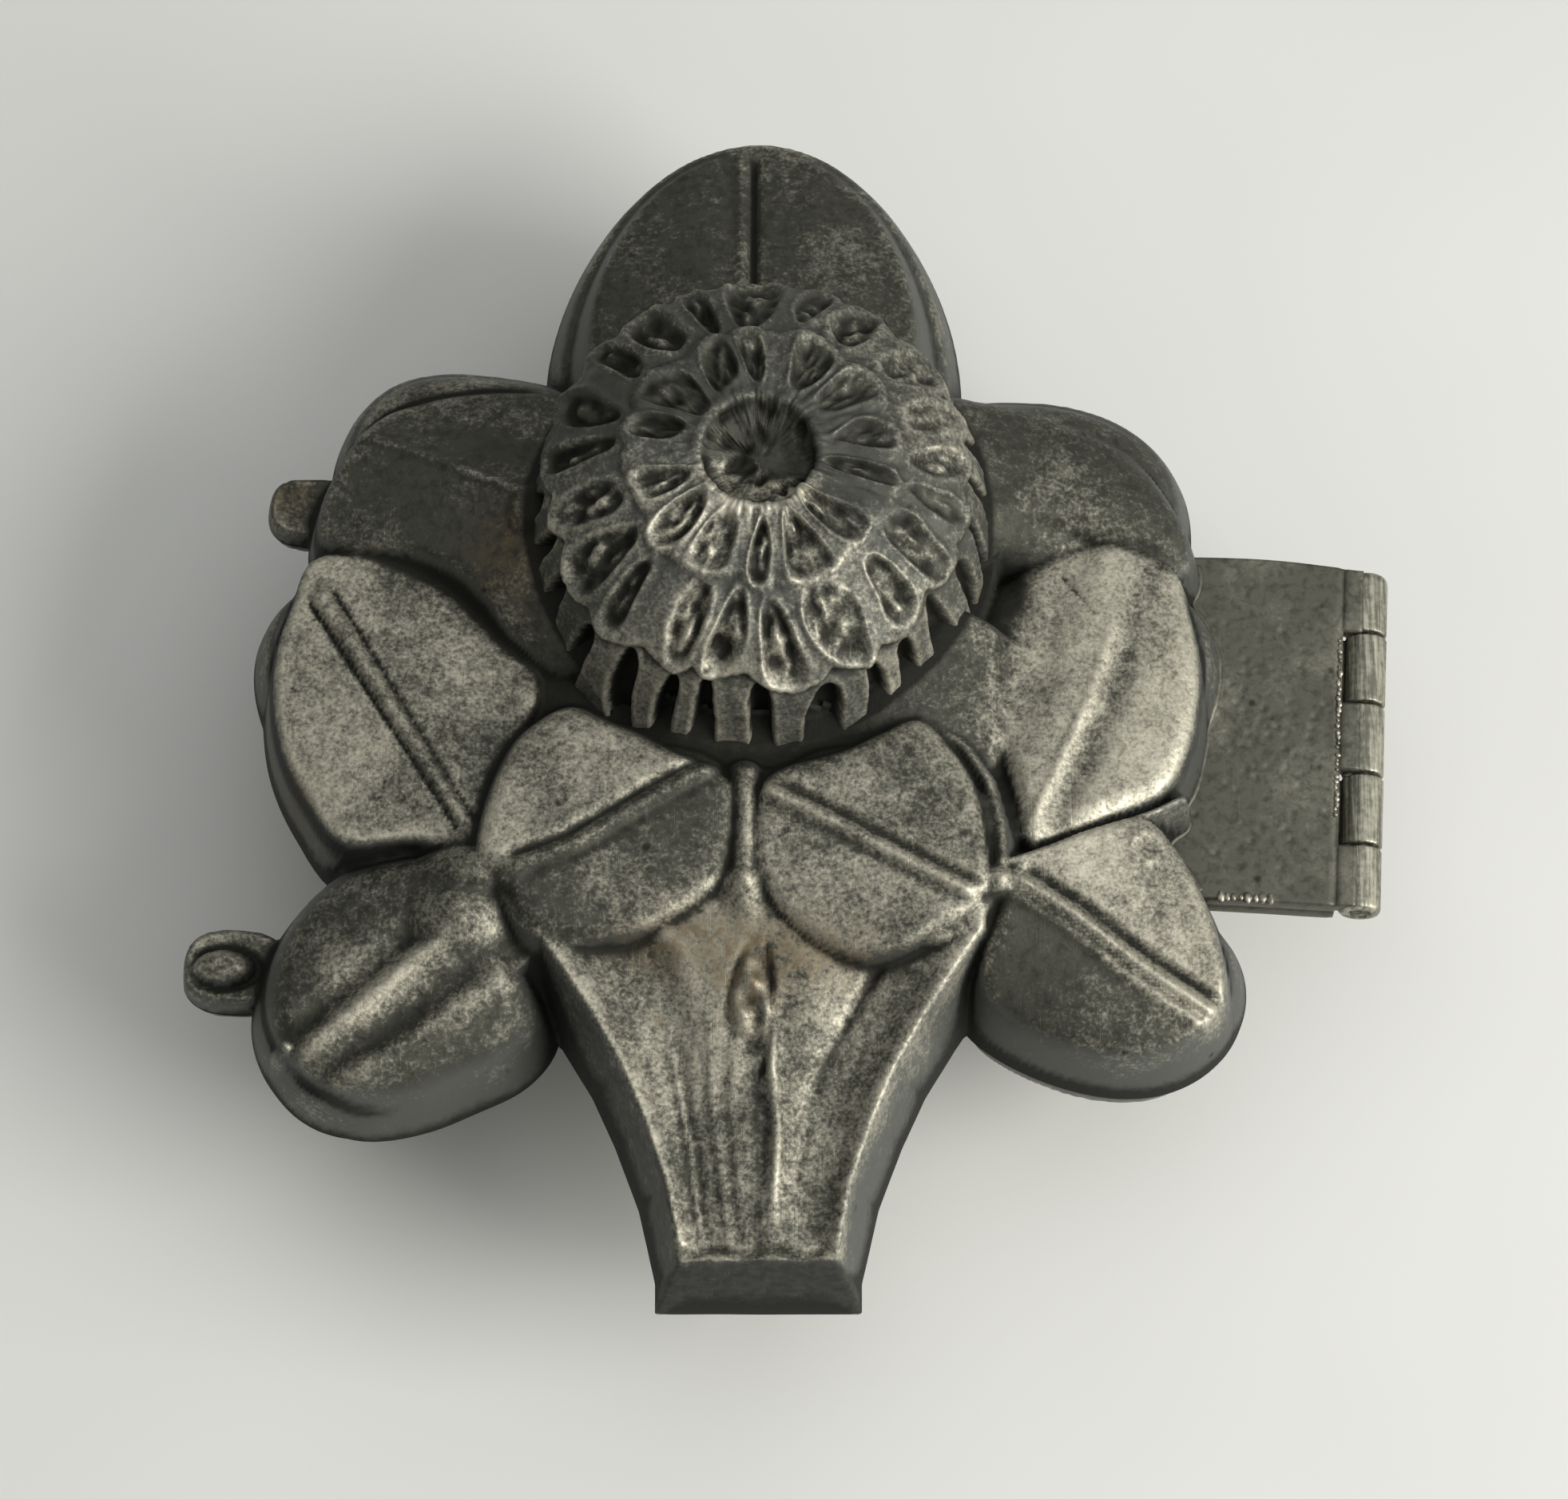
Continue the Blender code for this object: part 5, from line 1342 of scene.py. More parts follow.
PLATE_REACH = 21.0  # from the pin's axis towards the mould
PLATE_STEP = 0.24
PLATE_EASE = 0.30  # radius of the plates' eased edges
PLATE_WALL = 3.4  # height of the shell's wall at which its plate ends inside it
ARM_START = 2.2  # from the pin's axis; nearer to it, a plate is only arms to its knuckles
ARM_STEPS = (0.0, 0.2, 0.5, 0.8, 1.1, 1.4, 1.7)


def plate_mesh(name: str, side: Side, mine: Iterable[int], shell: Array, plan: Plan) -> bpy.types.Mesh:
    """Hinge plate with eased edges and arms to its own knuckles, let into the wall of its shell.

    Args:
        name: Name of the mesh.
        side: The half that it is soldered to.
        mine: Numbers of its knuckles.
        shell: Heights of that half's outer relief.
        plan: The grid of those heights.
    """
    half = HINGE_LENGTH / 2
    ends = np.array([0.0, 0.06, 0.15, 0.28])
    u = np.concatenate([np.arange(-PLATE_REACH, -ARM_START, PLATE_STEP), -ARM_START + np.array(ARM_STEPS)])
    v = np.concatenate([-half + ends, np.arange(-half + 0.45, half - 0.44, PLATE_STEP), half - ends[::-1]])
    gu, gv = np.meshgrid(u, v, indexing="ij")
    bulge = 0.5 * np.sin(np.clip((gu + 20) / 19, 0, 1) * math.pi) * smooth_step(gv, 9.0, half)
    c, s = math.cos(-HINGE_SKEW), math.sin(-HINGE_SKEW)
    x = HINGE_X + gu * c - (gv + bulge) * s
    y = HINGE_Y + gu * s + (gv + bulge) * c
    wall = sample(plan, shell, (x[1:, 1:] + x[:-1, :-1]) / 2, (y[1:, 1:] + y[:-1, :-1]) / 2)
    cu, cv = (gu[1:, 1:] + gu[:-1, :-1]) / 2, (gv[1:, 1:] + gv[:-1, :-1]) / 2
    spans = knuckle_spans()
    arm = np.zeros(cu.shape, bool)
    for k in mine:
        arm |= (cv > spans[k][0] + GAP / 2) & (cv < spans[k][1] - GAP / 2)
    keep = (wall < PLATE_WALL) & ((cu < -ARM_START) | arm)
    edge = np.minimum(half - np.abs(gv), np.where(gu > -2.6, 9.0, np.abs(gu + ARM_START)))
    ease = PLATE_EASE * (1 - np.sqrt(np.clip(1 - (1 - np.clip(edge / PLATE_EASE, 0, 1)) ** 2, 0, 1)))
    top = KNUCKLE_R - 0.03 - ease - pit_field(gu, gv) + 0.03 * np.sin(gu * 0.7 + 1.1) * np.sin(gv * 0.45)
    top = top - 0.22 * hill(gu, -2.35, 0.22)
    base = np.full(top.shape, GAP / 2) + ease * 0.5
    return slab_mesh(name, x, y, top, base, keep, side)


def sample(plan: Plan, values: Array, x: Array, y: Array) -> Array:
    """Value of a field at the grid place nearest to each point."""
    i = np.clip(np.rint((x - plan.x[0, 0]) / plan.step).astype(int), 0, values.shape[0] - 1)
    j = np.clip(np.rint((y - plan.y[0, 0]) / plan.step).astype(int), 0, values.shape[1] - 1)
    return values[i, j]


def pit_field(u: Array, v: Array) -> Array:
    """Corrosion pits of the upper plate: a scatter that thickens in the middle, and one round mark."""
    rng = np.random.default_rng(77)
    pits = np.zeros(u.shape)
    centres = np.stack([rng.normal(-9.5, 3.6, 120), rng.normal(0.5, 6.5, 120)], 1)
    sizes = rng.uniform(0.14, 0.34, 120)
    for (cu, cv), size in zip(centres, sizes):
        pits = np.maximum(pits, np.exp(-(((u - cu) ** 2 + (v - cv) ** 2) / size**2) ** 1.5))
    ring = np.hypot(u + 5.2, v + 8.3)
    return 0.16 * pits + 0.07 * hill(ring, 1.25, 0.3)


def slab_mesh(name: str, x: Array, y: Array, top: Array, base: Array, keep: Array, side: Side) -> bpy.types.Mesh:
    """Closed slab between two height fields, over the cells that are kept."""
    columns, count = x.shape[1], x.size
    i, j = np.nonzero(keep)
    a, b = i * columns + j, (i + 1) * columns + j
    c, d = (i + 1) * columns + j + 1, i * columns + j + 1
    up = np.stack([a, b, c, d], 1)
    down = np.stack([d, c, b, a], 1) + count
    padded = np.pad(keep, 1)
    walls = []
    for di, dj, first, second in ((-1, 0, d, a), (1, 0, b, c), (0, -1, a, b), (0, 1, c, d)):
        bare = ~padded[i + 1 + di, j + 1 + dj]
        f, g = first[bare], second[bare]
        walls.append(np.stack([g, f, f + count, g + count], 1))
    quads = np.concatenate([up, down, *walls])
    z = np.concatenate([top.ravel(), base.ravel()]) * side.value + PARTING
    points = np.stack([np.tile(x.ravel(), 2), np.tile(y.ravel(), 2), z], 1)
    used, index = np.unique(quads, return_inverse=True)
    quads = index.reshape(quads.shape)
    if side is Side.LOWER:
        quads = quads[:, ::-1]
    return mesh_from_arrays(name, points[used] * MM, quads)


def barrel_mesh(name: str, start: float, end: float, round_start: float, round_end: float,
                seed: int) -> bpy.types.Mesh:
    """One knuckle: a bored barrel with eased ends and the uneven face of a cast one."""
    bore, r = PIN_R + GAP * 0.5, KNUCKLE_R
    half = np.linspace(0, math.pi / 2, 6)
    low = [(r - round_start * (1 - math.sin(a)), start + round_start * (1 - math.cos(a))) for a in half]
    high = [(r - round_end * (1 - math.cos(a)), end - round_end * (1 - math.sin(a))) for a in half]
    middle = [(r, y) for y in np.linspace(low[-1][1], high[0][1], 22)[1:-1]]
    profile = [(bore, start)] + low + middle + high + [(bore, end)]
    mesh = revolved(name, profile, 72, Matrix.Identity(4))
    turn = Matrix.Rotation(-math.pi / 2, 4, "X")
    points = np.empty(len(mesh.vertices) * 3, np.float32)
    mesh.vertices.foreach_get("co", points)
    points = points.reshape(-1, 3)
    rng = np.random.default_rng(seed)
    angle = np.arctan2(points[:, 1], points[:, 0])
    away = np.hypot(points[:, 0], points[:, 1])
    along = points[:, 2] / MM
    waves = sum(rng.uniform(0.2, 1.0) * np.sin(k * angle + rng.uniform(0, 6) + along * rng.uniform(-0.2, 0.2))
                for k in (5, 9, 14, 22))
    scale = 1 - np.clip((away - bore * MM) / ((r - bore) * MM), 0, 1) * np.clip(0.012 + 0.010 * waves, 0, 0.05)
    points[:, :2] *= scale[:, None]
    mesh.vertices.foreach_set("co", points.ravel())
    mesh.transform(hinge_place() @ turn)
    return mesh


def joined(name: str, meshes: Sequence[bpy.types.Mesh]) -> bpy.types.Mesh:
    """One mesh of several closed ones, faces outwards."""
    bm = bmesh.new()
    for mesh in meshes:
        bm.from_mesh(mesh)
        bpy.data.meshes.remove(mesh)
    bmesh.ops.recalc_face_normals(bm, faces=bm.faces)
    return write_mesh(bm, name)


def tube_mesh(name: str, path: Array, radii: Array, sides: int = 12) -> bpy.types.Mesh:
    """Closed tube along a path, with its own radius at each point, in millimetres."""
    ahead = np.gradient(path, axis=0)
    ahead /= np.linalg.norm(ahead, axis=1)[:, None]
    across = np.cross(ahead, (0.0, 0.0, 1.0))
    across /= np.linalg.norm(across, axis=1)[:, None]
    up = np.cross(across, ahead)
    turn = np.linspace(0, 2 * math.pi, sides, endpoint=False)
    ring = across[:, None, :] * np.cos(turn)[None, :, None] + up[:, None, :] * np.sin(turn)[None, :, None]
    points = path[:, None, :] + ring * radii[:, None, None]
    quads = grid_quads(len(path), sides, (False, True), flip=True)
    mesh = mesh_from_arrays(name, points.reshape(-1, 3) * MM, quads)
    bm = bmesh.new()
    bm.from_mesh(mesh)
    bmesh.ops.holes_fill(bm, edges=[e for e in bm.edges if e.is_boundary], sides=0)
    bmesh.ops.recalc_face_normals(bm, faces=bm.faces)
    return write_mesh(bm, mesh)


def junction_path(shell: Array, plan: Plan, level: float, side: Side) -> Array:
    """Line where the plate's face meets its shell's wall, from the stem's end upwards."""
    half = HINGE_LENGTH / 2
    v = np.linspace(-half + 0.4, half - 0.5, 110)
    u = np.linspace(-4.0, -PLATE_REACH, 700)
    c, s = math.cos(-HINGE_SKEW), math.sin(-HINGE_SKEW)
    gv, gu = np.meshgrid(v, u, indexing="ij")
    x, y = HINGE_X + gu * c - gv * s, HINGE_Y + gu * s + gv * c
    first = np.argmax(sample(plan, shell, x, y) > level, axis=1)
    rows = np.arange(len(v))
    kernel = np.ones(5) / 5
    px = np.convolve(np.pad(x[rows, first], 2, mode="edge"), kernel, "valid")
    py = np.convolve(np.pad(y[rows, first], 2, mode="edge"), kernel, "valid")
    return np.stack([px, py, np.full(len(v), PARTING + side.value * (KNUCKLE_R - 0.12))], 1)


def solder_beads() -> bpy.types.Mesh:
    """Bright beads of solder on the upper plate, by its edge and along the barrel."""
    rng = np.random.default_rng(5)
    place = hinge_place()
    spots = [(-12.4 + 0.62 * k + rng.uniform(-0.1, 0.1), -HINGE_LENGTH / 2 + 0.28, rng.uniform(0.22, 0.40))
             for k in range(8)]
    spots += [(-2.45 + rng.uniform(-0.08, 0.08), -7.5 + 0.52 * k + rng.uniform(-0.15, 0.15), rng.uniform(0.12, 0.27))
              for k in range(33)]
    meshes = []
    for u, v, r in spots:
        bm = bmesh.new()
        bmesh.ops.create_icosphere(bm, subdivisions=3, radius=1.0)
        stretch = rng.uniform(0.9, 1.6)
        for vert in bm.verts:
            wobble = 1 + 0.12 * math.sin(5 * vert.co.x + 3 * vert.co.y + 7 * r * 10)
            vert.co = Vector((vert.co.x * r * wobble, vert.co.y * r * stretch, vert.co.z * r * 0.75)) * MM
        bm.transform(place @ Matrix.Translation((u * MM, v * MM, (KNUCKLE_R - 0.08) * MM)))
        meshes.append(write_mesh(bm, "bead"))
    return joined("solder_beads", meshes)


# Materials


class Nodes:
    """Short calls for building a node tree."""

    def __init__(self, tree: bpy.types.NodeTree):
        self.tree = tree

    def add(self, kind: str, **settings) -> bpy.types.Node:
        """Adds a node and sets its properties."""
        node = self.tree.nodes.new(kind)
        for key, value in settings.items():
            setattr(node, key, value)
        return node

    def link(self, start, end) -> None:
        """Joins an output to an input, or sets the input where the start is a plain value."""
        if isinstance(start, bpy.types.NodeSocket):
            self.tree.links.new(start, end)
        else:
            end.default_value = start

    def math(self, operation: str, a, b=0.0, clamp: bool = False):
        """Math node on two values or outputs."""
        node = self.add("ShaderNodeMath", operation=operation, use_clamp=clamp)
        self.link(a, node.inputs[0])
        self.link(b, node.inputs[1])
        return node.outputs[0]

    def plus(self, a, b):
        """Sum of two values or outputs."""
        return self.math("ADD", a, b)

    def minus(self, a, b):
        """First value less the second."""
        return self.math("SUBTRACT", a, b)

    def times(self, a, b):
        """Product of two values or outputs."""
        return self.math("MULTIPLY", a, b)

    def mix(self, share, a, b):
        """Mixes two colours."""
        node = self.add("ShaderNodeMix", data_type="RGBA", clamp_factor=True)
        self.link(share, node.inputs[0])
        self.link(a, node.inputs[6])
        self.link(b, node.inputs[7])
        return node.outputs[2]

    def span(self, value, low: float, high: float, to_low: float = 0.0, to_high: float = 1.0):
        """Smooth step of a value between two limits."""
        node = self.add("ShaderNodeMapRange", interpolation_type="SMOOTHSTEP")
        self.link(value, node.inputs[0])
        for number, limit in enumerate((low, high, to_low, to_high), start=1):
            node.inputs[number].default_value = limit
        return node.outputs[0]

    def noise(self, vector, scale: float, detail: float = 4.0, roughness: float = 0.55, distortion: float = 0.0):
        """Noise of about 0.5, one bump for each unit of scale to the metre."""
        node = self.add("ShaderNodeTexNoise")
        self.link(vector, node.inputs["Vector"])
        for key, value in (("Scale", scale), ("Detail", detail), ("Roughness", roughness), ("Distortion", distortion)):
            node.inputs[key].default_value = value
        return node.outputs["Fac"]

    def stretched(self, vector, turn: tuple[float, float, float], scale: tuple[float, float, float]):
        """Turned and stretched coordinates."""
        node = self.add("ShaderNodeMapping")
        self.link(vector, node.inputs["Vector"])
        node.inputs["Rotation"].default_value = turn
        node.inputs["Scale"].default_value = scale
        return node.outputs["Vector"]

    def bumps(self, height, depth: float, shader: bpy.types.Node) -> None:
        """Fine relief of a depth in metres, on a shader's normal."""
        rise = self.add("ShaderNodeBump")
        rise.inputs["Strength"].default_value = 1.0
        rise.inputs["Distance"].default_value = depth
        self.link(height, rise.inputs["Height"])
        self.link(rise.outputs["Normal"], shader.inputs["Normal"])


def new_material(name: str) -> tuple[bpy.types.Material, Nodes, bpy.types.Node]:
    """New material with the calls for its tree and its shader."""
    material = bpy.data.materials.new(name)
    material.use_nodes = True
    return material, Nodes(material.node_tree), material.node_tree.nodes["Principled BSDF"]


def group_tree(name: str, inputs: Sequence[tuple[str, str]], outputs: Sequence[tuple[str, str]]):
    """New shader node group, with its input and output nodes."""
    tree = bpy.data.node_groups.new(name, "ShaderNodeTree")
    kinds = {"value": "NodeSocketFloat", "vector": "NodeSocketVector", "colour": "NodeSocketColor"}
    for label, kind in inputs:
        tree.interface.new_socket(label, in_out="INPUT", socket_type=kinds[kind])
    for label, kind in outputs:
        tree.interface.new_socket(label, in_out="OUTPUT", socket_type=kinds[kind])
    nodes = Nodes(tree)
    return nodes, nodes.add("NodeGroupInput").outputs, nodes.add("NodeGroupOutput").inputs


@dataclass(frozen=True)
class PewterFinish:
    """Colours and strengths of one pewter surface, all colours linear.

    Args:
        tarnish: Darkest tarnish, in pits and hollows; in the hollows it also gives the painted shade.
        body: The even grey of untouched metal.
        smooth: Grey of the smooth drafted walls.
        bright: Rubbed metal.
        stain: Brown of the stains.
        metallic: Metallic value of the shader.
        gloss: Roughness of the rubbed metal.
        matt: Roughness of the tarnish.
        relief: Depth of the fine bumps in metres.
        rubbed: Added to the wear everywhere.
        contrast: Strength of the mottling between bright and dull metal.
    """

    tarnish: tuple[float, float, float] = (0.012, 0.012, 0.009)
    body: tuple[float, float, float] = (0.064, 0.064, 0.050)
    smooth: tuple[float, float, float] = (0.108, 0.112, 0.100)
    bright: tuple[float, float, float] = (0.56, 0.53, 0.42)
    stain: tuple[float, float, float] = (0.145, 0.100, 0.045)
    metallic: float = 0.68
    gloss: float = 0.42
    matt: float = 0.60
    relief: float = 0.00006
    rubbed: float = 0.0
    contrast: float = 1.0


def mottle_group() -> bpy.types.NodeTree:
    """Masks of the mottled tarnish: patches, blotches, flecks and pits."""
    n, given, made = group_tree("mottle", (("Vector", "vector"),),
                                (("Patch", "value"), ("Blotch", "value"), ("Fleck", "value"), ("Pit", "value")))
    vector = given["Vector"]
    n.link(n.span(n.noise(vector, 120, 3), 0.35, 0.65), made["Patch"])
    n.link(n.noise(vector, 1050, 6, 0.62, 0.4), made["Blotch"])
    n.link(n.noise(vector, 2900, 5, 0.6, 0.2), made["Fleck"])
    cells = n.add("ShaderNodeTexVoronoi", feature="F1")
    n.link(n.stretched(vector, (0, 0, 0), (1, 1, 1)), cells.inputs["Vector"])
    cells.inputs["Scale"].default_value = 520
    pits = n.span(cells.outputs["Distance"], 0.10, 0.28, 1.0, 0.0)
    sparse = n.span(n.noise(vector, 300, 3), 0.54, 0.68)
    n.link(n.times(pits, sparse), made["Pit"])
    return n.tree


def scratch_group() -> bpy.types.NodeTree:
    """Fine scratches in three directions."""
    n, given, made = group_tree("scratches", (("Vector", "vector"),), (("Scratch", "value"),))
    total = None
    for number, turn in enumerate((0.5, 1.35, 2.5)):
        line = n.noise(n.stretched(given["Vector"], (0, 0, turn), (3600, 90, 600)), 1.0, 2, 0.5, 0.6)
        sharp = n.span(line, 0.63, 0.72)
        gate = n.span(n.noise(given["Vector"], 160 + 40 * number, 2), 0.45, 0.62)
        one = n.times(sharp, gate)
        total = one if total is None else n.math("MAXIMUM", total, one)
    n.link(total, made["Scratch"])
    return n.tree


def pewter_group(mottle: bpy.types.NodeTree, scratches: bpy.types.NodeTree) -> bpy.types.NodeTree:
    """Colour, roughness and height of tarnished pewter from the masks of the relief."""
    n, given, made = group_tree(
        "pewter",
        (("Vector", "vector"), ("Tarnish_and_shade", "value"), ("Edge", "value"), ("Wall", "value"), ("Wear", "value"),
         ("Stain", "value"), ("Tarnish", "colour"), ("Body", "colour"), ("Smooth", "colour"), ("Bright", "colour"),
         ("Brown", "colour"), ("Gloss", "value"), ("Matt", "value"), ("Contrast", "value")),
        (("Color", "colour"), ("Roughness", "value"), ("Height", "value")))
    spots = n.add("ShaderNodeGroup", node_tree=mottle)
    lines = n.add("ShaderNodeGroup", node_tree=scratches)
    n.link(given["Vector"], spots.inputs["Vector"])
    n.link(given["Vector"], lines.inputs["Vector"])
    patch, blotch, fleck, pit = (spots.outputs[key] for key in ("Patch", "Blotch", "Fleck", "Pit"))
    scratch = lines.outputs["Scratch"]
    # Even metal, with the smoother and bluer walls
    body = n.mix(n.span(blotch, 0.30, 0.56, 0.55, 1.0), given["Tarnish"], given["Body"])
    body = n.mix(given["Wall"], body, given["Smooth"])
    # Rubbed metal: the wear with a mottle over it, more on the edges and less in the hollows
    rub = n.plus(n.times(n.minus(blotch, 0.5), 0.85),
                 n.times(n.minus(fleck, 0.5), 1.15))
    rub = n.times(rub, given["Contrast"])
    rub = n.plus(rub, given["Wear"])
    rub = n.plus(rub, n.times(given["Edge"], 0.24))
    rub = n.plus(rub, n.times(n.minus(patch, 0.5), 0.26))
    rub = n.minus(rub, n.times(given["Wall"], 0.22))
    rub = n.minus(rub, n.times(given["Tarnish_and_shade"], 0.55))
    shown = n.span(rub, 0.0, 1.0)
    shown = n.math("MAXIMUM", shown, n.times(scratch, n.times(given["Wear"], 0.5)))
    colour = n.mix(shown, body, given["Bright"])
    # Brown stains, then tarnish and painted shade in the hollows, and dark pits
    brown = n.times(given["Stain"], n.span(n.plus(blotch, n.times(fleck, 0.4)), 0.5, 0.85))
    colour = n.mix(n.times(brown, 0.85), colour, given["Brown"])
    shade_and_tarnish_share = n.plus(given["Tarnish_and_shade"], n.times(n.minus(0.5, blotch), 0.5))
    shade_and_tarnish_share = n.span(shade_and_tarnish_share, 0.10, 0.80)
    colour = n.mix(n.times(shade_and_tarnish_share, 0.88), colour, given["Tarnish"])
    colour = n.mix(n.times(pit, 0.85), colour, given["Tarnish"])
    n.link(colour, made["Color"])
    rough = n.plus(given["Matt"], n.times(shown, n.minus(given["Gloss"], given["Matt"])))
    rough = n.plus(rough, n.times(n.minus(fleck, 0.5), 0.16))
    n.link(n.math("ADD", rough, n.times(shade_and_tarnish_share, 0.12), clamp=True), made["Roughness"])
    height = n.plus(n.times(fleck, 0.55), n.times(blotch, 0.8))
    height = n.minus(height, n.times(pit, 0.8))
    height = n.minus(height, n.times(scratch, 0.22))
    quiet = n.span(given["Wall"], 0.0, 1.0, 1.0, 0.45)
    n.link(n.times(height, quiet), made["Height"])
    return n.tree


RIM_WEAR = 0.30  # the rims are rubbed where the halves meet


def rim_mask(n: Nodes):
    """One on the flat rims at the parting plane, zero elsewhere."""
    split = n.add("ShaderNodeSeparateXYZ")
    n.link(n.add("ShaderNodeTexCoord").outputs["Object"], split.inputs[0])
    off = n.math("ABSOLUTE", n.minus(split.outputs["Z"], PARTING * MM), 0.0)
    return n.span(off, (CLIP + 0.01) * MM, (CLIP + 0.03) * MM, 1.0, 0.0)


def pewter_material(name: str, finish: PewterFinish, group: bpy.types.NodeTree, masked: bool) -> bpy.types.Material:
    """Pewter whose wear follows the relief's masks, or plain wear where the mesh has none."""
    material, n, shader = new_material(name)
    metal = n.add("ShaderNodeGroup", node_tree=group)
    n.link(n.add("ShaderNodeTexCoord").outputs["Object"], metal.inputs["Vector"])
    for key in ("Tarnish_and_shade", "Edge", "Wall", "Wear", "Stain"):
        if masked:
            value = n.add("ShaderNodeAttribute", attribute_name=key.lower()).outputs["Fac"]
            if key == "Wear":
                value = n.plus(value, n.times(rim_mask(n), RIM_WEAR))
            if key == "Wear" and finish.rubbed:
                value = n.plus(value, finish.rubbed)
            n.link(value, metal.inputs[key])
        else:
            metal.inputs[key].default_value = finish.rubbed if key == "Wear" else 0.0
    for key, colour in (("Tarnish", finish.tarnish), ("Body", finish.body), ("Smooth", finish.smooth),
                        ("Bright", finish.bright), ("Brown", finish.stain)):
        metal.inputs[key].default_value = (*colour, 1.0)
    for key, value in (("Gloss", finish.gloss), ("Matt", finish.matt), ("Contrast", finish.contrast)):
        metal.inputs[key].default_value = value
    n.link(metal.outputs["Color"], shader.inputs["Base Color"])
    n.link(metal.outputs["Roughness"], shader.inputs["Roughness"])
    shader.inputs["Metallic"].default_value = finish.metallic
    n.bumps(metal.outputs["Height"], finish.relief, shader)
    return material


BRUSHED_DEPTH = 0.00005


def brushed_material(name: str, colour: tuple[float, float, float], dark: tuple[float, float, float],
                     streak: tuple[float, float, float], roughness: float) -> bpy.types.Material:
    """Metal rubbed along one direction, with bright and dark streaks."""
    material, n, shader = new_material(name)
    place = n.add("ShaderNodeTexCoord").outputs["Object"]
    line = n.noise(n.stretched(place, (0, 0, HINGE_SKEW), streak), 1.0, 4, 0.6, 0.5)
    grain = n.noise(place, 1700, 4)
    share = n.span(n.plus(n.times(line, 0.75), n.times(grain, 0.35)), 0.42, 0.70)
    n.link(n.mix(share, (*dark, 1.0), (*colour, 1.0)), shader.inputs["Base Color"])
    n.link(n.span(grain, 0.3, 0.7, roughness + 0.12, roughness), shader.inputs["Roughness"])
    shader.inputs["Metallic"].default_value = 0.85
    n.bumps(n.plus(line, n.times(grain, 0.3)), BRUSHED_DEPTH, shader)
    return material


def floor_material() -> bpy.types.Material:
    """Plain pale floor with the faintest unevenness."""
    material, n, shader = new_material("pale_floor")
    place = n.add("ShaderNodeTexCoord").outputs["Object"]
    soft = n.span(n.noise(place, 14, 2), 0.3, 0.7)
    n.link(n.mix(soft, (0.70, 0.705, 0.675, 1.0), (0.73, 0.735, 0.705, 1.0)), shader.inputs["Base Color"])
    shader.inputs["Roughness"].default_value = 0.9
    shader.inputs["Specular IOR Level"].default_value = 0.15
    return material


# Scene


def piece(mesh: bpy.types.Mesh, body: str, material: bpy.types.Material,
          nodes: Sequence[str] = ()) -> None:
    """Puts a finished mesh into the scene on its CAD body."""
    obj = bpy.data.objects.new(mesh.name, mesh)
    bpy.context.scene.collection.objects.link(obj)
    mesh.materials.clear()
    mesh.materials.append(material)
    mesh.polygons.foreach_set("use_smooth", np.ones(len(mesh.polygons), bool))
    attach(obj, body)
    if nodes:
        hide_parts(*nodes)
    LOG.info("%s: %d faces", obj.name, len(mesh.polygons))


def area_light(name: str, place: tuple[float, float, float], target: Vector, size: float, power: float,
               colour: tuple[float, float, float]) -> None:
    """Square soft light aimed at a point, in metres."""
    data = bpy.data.lights.new(name, "AREA")
    data.shape, data.size, data.energy, data.color = "SQUARE", size, power, colour
    light = bpy.data.objects.new(name, data)
    light.location = place
    light.rotation_euler = (target - Vector(place)).to_track_quat("-Z", "Y").to_euler()
    bpy.context.scene.collection.objects.link(light)


def make_camera() -> None:
    """Camera at the photograph's viewing angle, looking down along +Y."""
    target = Vector(CAMERA_TARGET) * MM
    elevation = math.radians(CAMERA_ELEVATION)
    data = bpy.data.cameras.new("camera")
    data.sensor_fit, data.sensor_width = "HORIZONTAL", 36.0
    data.lens = PIXELS_PER_MM * CAMERA_DISTANCE / MM * data.sensor_width / PHOTO_SIZE[0]
    data.clip_start, data.clip_end = 0.01, 20.0
    camera = bpy.data.objects.new("camera", data)
    camera.location = target + CAMERA_DISTANCE * Vector((0, -math.cos(elevation), math.sin(elevation)))
    camera.rotation_euler = (math.pi / 2 - elevation, 0, 0)
    bpy.context.scene.collection.objects.link(camera)
    bpy.context.scene.camera = camera


FLOOR_HALF = 6.0
FLOOR_GAP = 0.00002  # below the object's lowest point, in metres


def make_floor() -> None:
    """Floor under the lowest point of the object."""
    mesh = bpy.data.meshes.new("floor")
    mesh.from_pydata([(FLOOR_HALF * i, FLOOR_HALF * j, 0) for i, j in ((-1, -1), (1, -1), (1, 1), (-1, 1))], [],
                     [(0, 1, 2, 3)])
    floor = bpy.data.objects.new("floor", mesh)
    floor.location.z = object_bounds()[0][2] - FLOOR_GAP
    mesh.materials.append(floor_material())
    bpy.context.scene.collection.objects.link(floor)


def make_world() -> None:
    """Pale, nearly even surroundings, a little brighter overhead and towards the right of the photograph."""
    world = bpy.data.worlds.new("studio")
    bpy.context.scene.world = world
    world.use_nodes = True
    n = Nodes(world.node_tree)
    background = world.node_tree.nodes["Background"]
    split = n.add("ShaderNodeSeparateXYZ")
    n.link(n.add("ShaderNodeTexCoord").outputs["Generated"], split.inputs[0])
    lean = n.plus(n.times(split.outputs["X"], 0.55), n.times(split.outputs["Z"], 0.35))
    lean = n.plus(lean, n.times(split.outputs["Y"], 0.1))
    share = n.span(lean, -0.5, 0.8)
    n.link(n.mix(share, (0.42, 0.42, 0.41, 1.0), (0.86, 0.87, 0.86, 1.0)), background.inputs["Color"])
    background.inputs["Strength"].default_value = 0.45


